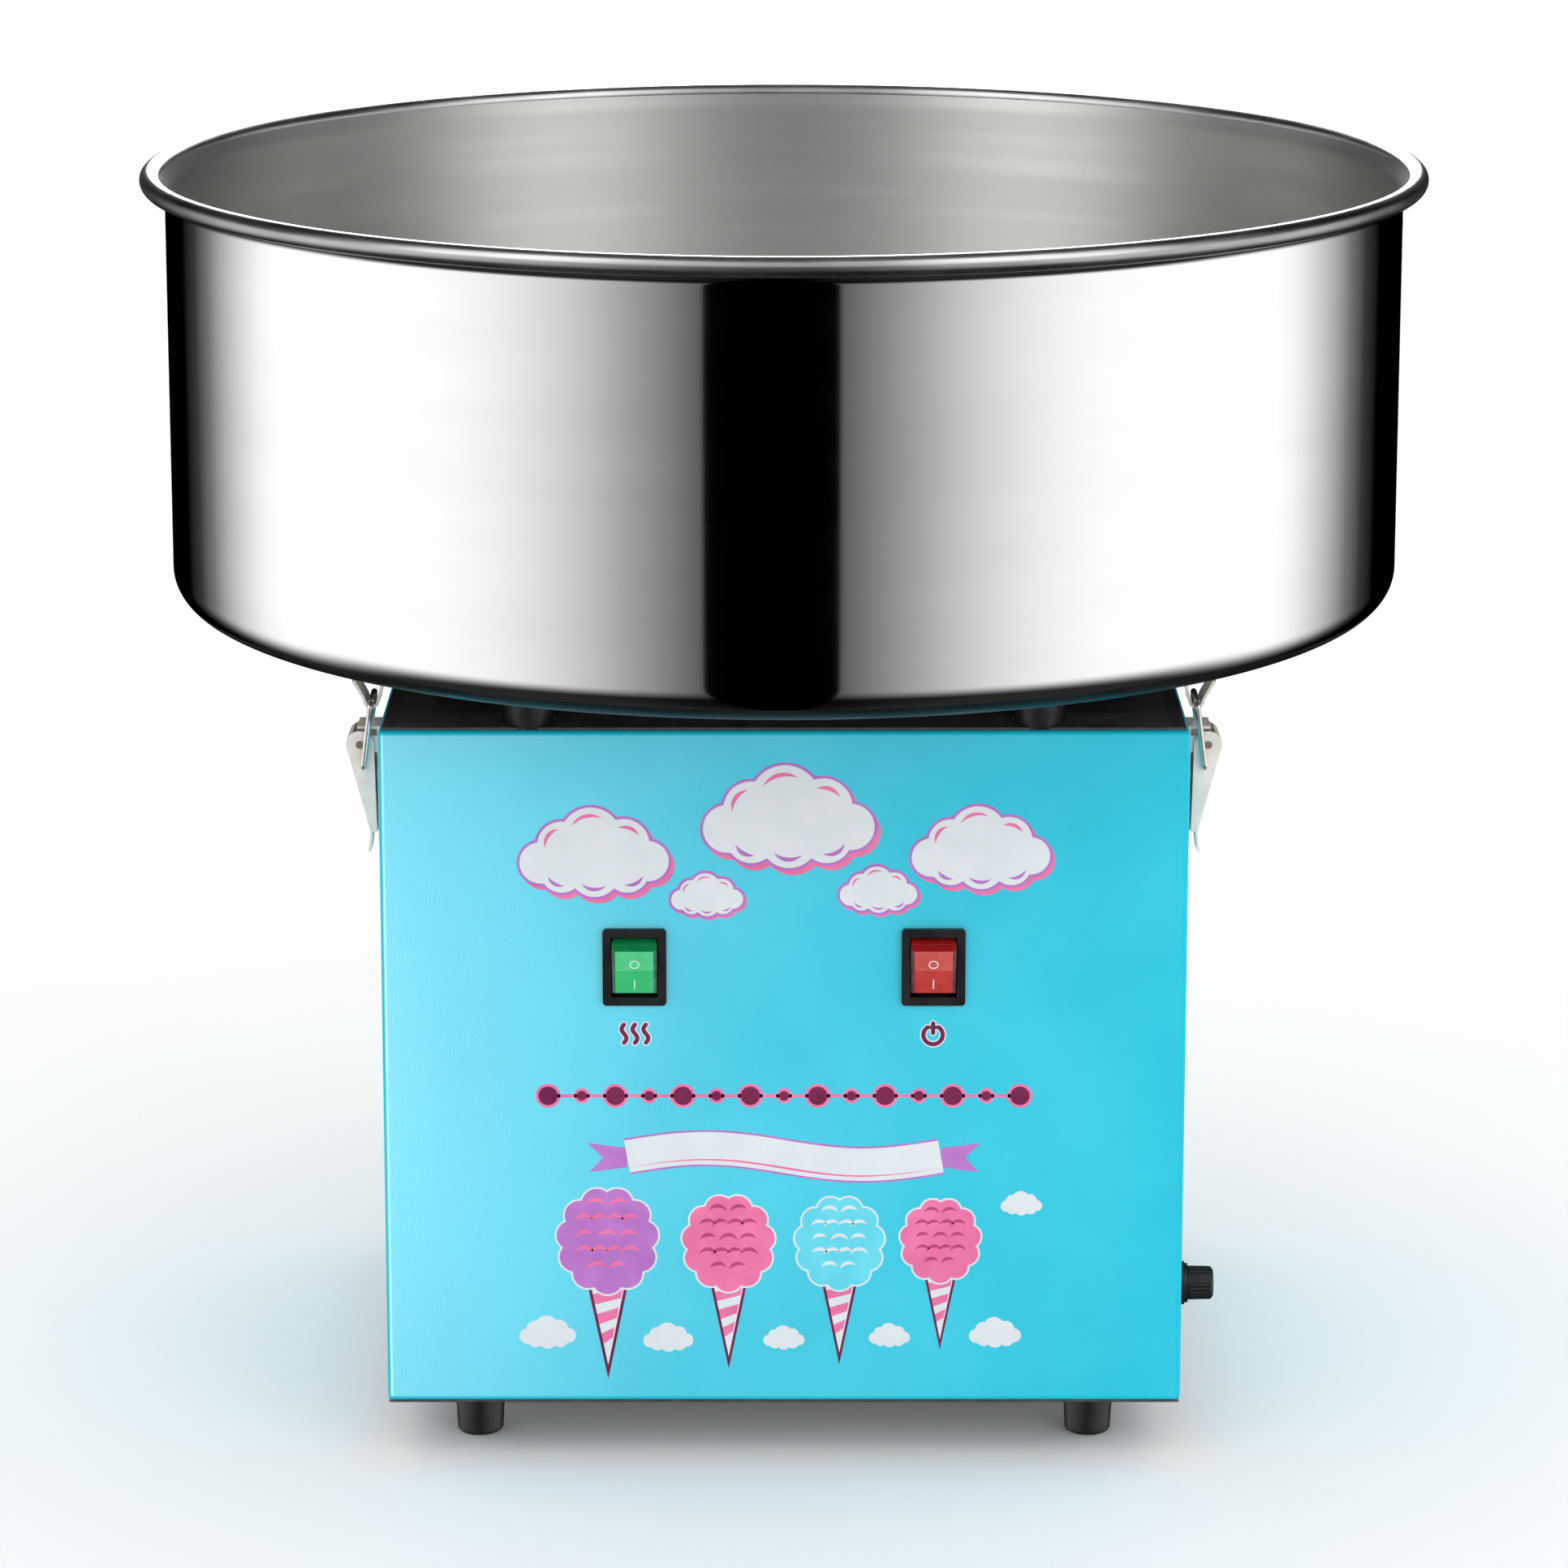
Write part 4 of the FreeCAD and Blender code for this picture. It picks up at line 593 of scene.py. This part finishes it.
def waved(x0, x1, z, swell, steps=80):
    """A line across that rises and falls once."""
    return [(x0 + (x1 - x0) * k / steps, z + swell * sin(tau * k / steps)) for k in range(steps + 1)]


BEADS_Z, BEADS_HALF, BEADS = 151, 93, 15
RIBBON_Z, RIBBON_HALF = 126, 62
MARKS_Z = 176.5


def make_print():
    art = Print()
    cloud(art, -74, 248, 13.5)
    cloud(art, 2, 262, 15.5)
    cloud(art, 77, 250, 12.5)
    cloud(art, -30, 232, 6.5)
    cloud(art, 37, 234, 7.0)
    # a plain row of beads in place of a line of words
    for k in range(BEADS):
        x = BEADS_HALF * (2 * k / (BEADS - 1) - 1)
        art.add("pink", 0, arc(x, BEADS_Z, 4.9 if k % 2 == 0 else 3.1, 0, 351, 39))
        art.add("maroon", 1, arc(x, BEADS_Z, 3.8 if k % 2 == 0 else 2.0, 0, 351, 39))
    art.add("pink", 0, [(-BEADS_HALF, BEADS_Z - 0.7), (BEADS_HALF, BEADS_Z - 0.7),
                        (BEADS_HALF, BEADS_Z + 0.7), (-BEADS_HALF, BEADS_Z + 0.7)])
    # a plain ribbon
    middle = waved(-RIBBON_HALF, RIBBON_HALF, RIBBON_Z, 3.4)
    for side, (x, z) in ((-1, middle[0]), (1, middle[-1])):
        art.add("lilac", 0, [(x, z - 4.5), (x + 15 * side, z - 6.5), (x + 9.5 * side, z - 0.5),
                             (x + 15.5 * side, z + 5.5), (x, z + 3.5)])
    art.add("lilac", 1, stroke(middle, 15.0, cap=False))
    art.add("white", 2, stroke(middle, 13.4, cap=False))
    art.add("pink", 3, stroke([(x, z - 4.7) for x, z in middle], 0.8, taper=True))
    floss_cone(art, -70, 91, 16.5, "lilac", "pink")
    floss_cone(art, -22, 90, 15.0, "pink", "rose")
    floss_cone(art, 22, 90, 14.5, "sky", "white")
    floss_cone(art, 62, 91, 13.0, "pink", "rose")
    for x, z, size in ((-94, 52, 5.2), (-46, 50, 4.6), (0, 50, 3.8),
                       (42, 51, 3.8), (84, 52, 4.8), (94, 106, 3.8)):
        cloud(art, x, z, size, shaded=False)
    # heat and power marks under the switches
    for node, kind in (("heater_rocker", "heat"), ("power_rocker", "power")):
        low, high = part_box(node)
        x = (low.x + high.x) / 2 / MM
        z = MARKS_Z
        if kind == "heat":
            lines = [[(x + dx + 0.95 * sin(tau * k / 16), z - 3.7 + 7.4 * k / 16) for k in range(17)]
                     for dx in (-4.3, 0, 4.3)]
        else:
            lines = [arc(x, z - 0.5, 3.8, 125, 415, 32), [(x, z + 0.3), (x, z + 2.0), (x, z + 4.2)]]
        for line in lines:
            art.add("white", 0, stroke(line, 2.7))
            art.add("maroon", 1, stroke(line, 1.7))
    art.bake({
        "white": ink_of("ink_white", (222, 228, 232), (217, 224, 228)),
        "pink": ink_of("ink_pink", (240, 120, 170), (229, 108, 160)),
        "lilac": ink_of("ink_lilac", (190, 120, 202), (178, 108, 192)),
        "maroon": ink_of("ink_maroon", (126, 22, 78), (112, 18, 70)),
        "rose": ink_of("ink_rose", (196, 66, 124), (184, 58, 116)),
        "sky": ink_of("ink_sky", (104, 218, 236), (92, 210, 230)),
    })


def ink_of(name, light, dark):
    return finish_of(name, tone(*light), tone(*dark), 0.42, mottle=90, bump_scale=2200,
                     bump=0.12, depth=0.03)


# ---------------------------------------------------------------- switch keys

UPPER_LIT, END_SHADED, LOWER_SHADED, EDGE = range(4)      # which of a key's tones a face has: the lighter upper face and darker lower face are painted light and shade, the dark round ends painted shade
MARK_LIFT, MARK_SUNK = 0.06, -0.1       # where the marks lie on a key's face, in millimetres


def make_key(node, body, slot, tones):
    """A see-saw key with round ends, two ribbed lenses for a face and clear edges, marked with a ring
    and a bar."""
    low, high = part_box(node)
    radius = (high.z - low.z) / 2
    middle_z = (high.z + low.z) / 2
    tilt = radians(12)
    face_end, face_middle, half_chord, back = 7.5 * MM, 6.1 * MM, 9.1 * MM, 3 * MM
    pivot_y = low.y + face_end * cos(tilt) + half_chord * sin(tilt)

    def tilted(y, z):
        """A point of the upright key, after the key is tipped."""
        return pivot_y + y * cos(tilt) - z * sin(tilt), middle_z + y * sin(tilt) + z * cos(tilt)

    def round_end(first, last):
        return [(-y, z) for y, z in arc(0, 0, radius, first, last, 12)]

    start = atan2(half_chord, face_end) * 180 / pi
    finish = acos(-back / radius) * 180 / pi
    top = round_end(start, finish)
    bottom = [(y, -z) for y, z in round_end(finish, start)]
    section = top + bottom + [(-face_middle, 0)]
    kinds = [END_SHADED] * (len(top) + len(bottom) - 1) + [LOWER_SHADED, UPPER_LIT]
    rim = 1.3 * MM
    across = [low.x, low.x + rim, high.x - rim, high.x]
    bm = bmesh.new()
    rings = [[bm.verts.new((x, *tilted(y, z))) for y, z in section] for x in across]
    for strip in range(3):
        for i, kind in enumerate(kinds):
            j = (i + 1) % len(section)
            a, b = rings[strip], rings[strip + 1]
            face = bm.faces.new((a[i], b[i], b[j], a[j]))
            face.material_index = kind if strip == 1 or kind == END_SHADED else EDGE
    for ring in (rings[0][::-1], rings[3]):
        bm.faces.new(ring).material_index = EDGE
    key = new_object(node + "_lens", bm, tones, 25)
    soften = key.modifiers.new("soften", "BEVEL")
    soften.width = 0.25 * MM
    soften.segments = 2
    soften.limit_method = "ANGLE"
    settle(key, body, slot, node)

    upper = (tilted(-face_end, half_chord), tilted(-face_middle, 0))
    lower = (tilted(-face_middle, 0), tilted(-face_end, -half_chord))
    middle_x = (low.x + high.x) / 2
    line, ring_radius, bar_half = 0.38, 1.75, 1.9       # in millimetres
    ring = stroke(arc(0, 0, ring_radius, 0, 360, 40), line, cap=False)
    bar = [(-line / 2, -bar_half), (line / 2, -bar_half), (line / 2, bar_half), (-line / 2, bar_half)]
    bm = bmesh.new()
    for (a, b), shape, share in ((upper, ring, 0.68), (lower, bar, 0.60)):
        down = Vector((0, b[0] - a[0], b[1] - a[1]))
        out = Vector((0, down.z, -down.y)).normalized()
        centre = Vector((middle_x, *a)) + down * share
        along = -down.normalized()
        layers = [[bm.verts.new(centre + Vector((x * MM, 0, 0)) + along * z * MM + out * lift * MM)
                   for x, z in shape] for lift in (MARK_LIFT, MARK_SUNK)]
        half = len(shape) // 2
        count = len(shape)
        if shape is ring:
            # the ring is a strip with a hole, so its faces are laid piece by piece
            for layer in layers:
                for k in range(half - 1):
                    bm.faces.new((layer[k], layer[k + 1], layer[count - 2 - k], layer[count - 1 - k]))
        else:
            bm.faces.new(layers[0])
            bm.faces.new(layers[1][::-1])
        for k in range(count):
            if shape is ring and k in (half - 1, count - 1):
                continue
            j = (k + 1) % count
            bm.faces.new((layers[0][k], layers[0][j], layers[1][j], layers[1][k]))
    bmesh.ops.remove_doubles(bm, verts=bm.verts, dist=SAME_PLACE)
    ink = ink_of("mark_" + node, (236, 240, 236), (226, 232, 228))
    settle(new_object(node + "_marks", bm, (ink,)), body, slot)


def lens(name, light, dark, **more):
    return finish_of(name, tone(*light), tone(*dark), 0.16, mottle=200, bump_scale=600,
                     bump=0.10, depth=0.02, Coat_Weight=0.8, Coat_Roughness=0.05, **more)


def make_keys():
    # Each lens is one colour, lit and shaded: the upper face is painted lighter, the lower face and the
    # round ends painted darker as shade
    make_key("heater_rocker", "heater_key", "green_lens", (
        lens("green_lens_upper_painted_light", (90, 206, 142), (82, 198, 134), ribs=0.8),
        lens("green_lens_end_painted_shade", (14, 140, 74), (10, 124, 64)),
        lens("green_lens_lower_painted_shade", (64, 192, 122), (56, 184, 114), ribs=0.8),
        lens("green_lens_edge", (84, 116, 106), (60, 96, 84))))
    make_key("power_rocker", "power_key", "red_lens", (
        lens("red_lens_upper_painted_light", (206, 94, 86), (196, 82, 76), ribs=0.8),
        lens("red_lens_end_painted_shade", (160, 26, 26), (140, 18, 20)),
        lens("red_lens_lower_painted_shade", (192, 66, 60), (182, 56, 52), ribs=0.8),
        lens("red_lens_edge", (112, 78, 84), (92, 58, 62))))


# ---------------------------------------------------------------- screws and the heater

def islands(node):
    """(lowest, highest) corners of each separate solid of a CAD node."""
    bm = bmesh.new()
    bm.from_mesh(NODES[node].data)
    bmesh.ops.remove_doubles(bm, verts=bm.verts, dist=SAME_PLACE)
    left = set(bm.verts)
    boxes = []
    while left:
        group, edge = set(), [left.pop()]
        while edge:
            vert = edge.pop()
            group.add(vert)
            for other in (e.other_vert(vert) for e in vert.link_edges):
                if other in left:
                    left.remove(other)
                    edge.append(other)
        boxes.append((Vector([min(v.co[k] for v in group) for k in range(3)]),
                      Vector([max(v.co[k] for v in group) for k in range(3)])))
    bm.free()
    return sorted(boxes, key=lambda box: tuple(round(value, 4) for value in box[0]))


def cross_screw(radius, head, shank_radius, shank):
    """A domed screw along +Z, with its head's seat at 0, and a cross recess cut into it."""
    dome = [(radius * cos(radians(a)), head * sin(radians(a))) for a in range(0, 91, 10)]
    bm = bmesh.new()
    turned(bm, [(0, -shank), (shank_radius, -shank), (shank_radius, 0)] + dome[:-1] + [(0, head)], 40)
    screw = new_object("screw_blank", bm, ())
    bm = bmesh.new()
    long, wide = radius * 0.55, radius * 0.13
    deep = head * 0.35
    tall = head * 1.4
    for half_x, half_y in ((long, wide), (wide, long)):
        for vert in bmesh.ops.create_cube(bm, size=1)["verts"]:
            narrow = 1 if vert.co.z > 0 else 0.6
            vert.co = (vert.co.x * 2 * half_x * narrow, vert.co.y * 2 * half_y,
                       deep + tall * (vert.co.z + 0.5))
    cutter = new_object("screw_cutter", bm, ())
    cut = screw.modifiers.new("cut", "BOOLEAN")
    cut.object = cutter
    cut.solver = "EXACT"
    cut.use_self = True
    mesh = bpy.data.meshes.new_from_object(screw.evaluated_get(bpy.context.evaluated_depsgraph_get()))
    for spare in (screw, cutter):
        bpy.data.objects.remove(spare)
    return mesh


def make_screws(node, body, axis, head_radius, head):
    """Cross-recess screws in place of a CAD node's plain ones, with their heads towards +axis (1 is Y
    and 2 is Z), each turned to an angle of its own."""
    bm = bmesh.new()
    for k, (low, high) in enumerate(islands(node)):
        middle = (low + high) / 2
        length = (high - low)[axis]
        mesh = cross_screw(head_radius, head, head_radius * 0.5, length - head)
        part = bmesh.new()
        part.from_mesh(mesh)
        bpy.data.meshes.remove(mesh)
        a = radians(17 + 41 * k)
        for vert in part.verts:
            x, y, z = vert.co
            x, y = x * cos(a) - y * sin(a), x * sin(a) + y * cos(a)
            if axis == 2:
                vert.co = (middle.x + x, middle.y + y, high.z - head + z)
            else:
                vert.co = (middle.x + x, high.y - head + z, middle.z + y)
        copy = bpy.data.meshes.new("screw")
        part.to_mesh(copy)
        part.free()
        bm.from_mesh(copy)
        bpy.data.meshes.remove(copy)
    settle(new_object(node + "_crossed", bm, (ZINC,), 30), body, "zinc_steel", node)


def make_base_lip():
    """The edge of the base plate, seen as a thin grey line under the panels."""
    low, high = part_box("cabinet_shell")
    inset, drop, thick, width = 0.4 * MM, 0.25 * MM, 0.9 * MM, 9 * MM
    x, y = high.x - inset, high.y - inset
    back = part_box("back_panel")[1].y - inset
    bm = bmesh.new()
    rings = []
    top = low.z - drop
    for dx, z in ((0, top), (width, top), (width, top - thick), (0, top - thick)):
        rings.append([bm.verts.new(p) for p in ((-x + dx, -y + dx, z), (x - dx, -y + dx, z),
                                                (x - dx, back - dx, z), (-x + dx, back - dx, z))])
    for here, there in zip(rings, rings[1:] + rings[:1]):
        for k in range(4):
            j = (k + 1) % 4
            bm.faces.new((here[k], here[j], there[j], there[k]))
    settle(new_object("base_plate_lip", bm, (ZINC,)), "cabinet", "zinc_steel")


def make_heater():
    """A thin ribbon that runs in folds round the head."""
    low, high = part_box("heater_element")
    margin, half = 0.5 * MM, 0.12 * MM
    swing, folds, segments = 0.75 * MM, 96, 960
    middle = high.x - margin
    foot, top = low.z + margin, high.z - margin
    profile = [(middle - half, foot), (middle - half, top), (middle + half, top), (middle + half, foot)]
    bm = bmesh.new()
    turned(bm, profile, segments, ripple=lambda a: swing * sin(folds * a))
    settle(new_object("heater_ribbon", bm, (HEATER,), 60), "spinner", "heater_alloy", "heater_element")


# ---------------------------------------------------------------- everything that stays as the CAD has it

def finish_cad():
    """Each CAD node takes its slot's finish; the keys, whose slots have none here, are replaced."""
    for part in frame["record"]["subparts"]:
        name = part["node"]
        material = SLOTS.get(part["material_slot"])
        if material is None:
            continue
        if name.startswith("latch_bail"):
            material = WIRE_NICKEL
        if name == "latch_pins":
            material = PIN_STEEL
        NODES[name].data.materials.clear()
        NODES[name].data.materials.append(material)


def make_floor():
    """A sheet of white paper just below the feet, kept out of reflections."""
    paper = finish_of("studio_paper", (0.96, 0.96, 0.96, 1), (0.955, 0.955, 0.955, 1), 0.9,
                      mottle=3, bump_scale=40, bump=0.02)
    bm = bmesh.new()
    bmesh.ops.create_circle(bm, cap_ends=True, segments=96, radius=6)
    floor = new_object("studio_floor", bm, (paper,))
    floor.location.z = -0.5 * MM
    floor.visible_glossy = False


make_camera()
make_world()
area_light("key", position=(1.3, -2.0, 0.7), target=(0, 0, 0.22), size=1.2, power=7, glossy=False)
sheen = area_light("sheen", position=(-0.62, -1.25, -0.22), target=(-0.1, -0.14, 0.15), size=0.6,
                   power=74, glossy=True)
painted = shine_on(sheen, "painted_panels", (NODES["cabinet_shell"], NODES["back_panel"]))
sheen.light_linking.blocker_collection = painted
make_floor()
finish_cad()
rim = make_bowl()
glint = area_light("rim_glint", position=(0, 2.6, 1.35), target=(0, 0, 0.5), size=1.6,
                   power=60, glossy=True)
shine_on(glint, "rim_only", (rim,))
make_posts()
make_feet()
make_print()
make_keys()
make_screws("panel_screws", "cabinet", axis=1, head_radius=3.4 * MM, head=1.6 * MM)
make_screws("deck_screws", "cabinet", axis=2, head_radius=3.6 * MM, head=1.8 * MM)
make_base_lip()
make_heater()
bpy.context.scene.view_settings.view_transform = "Standard"
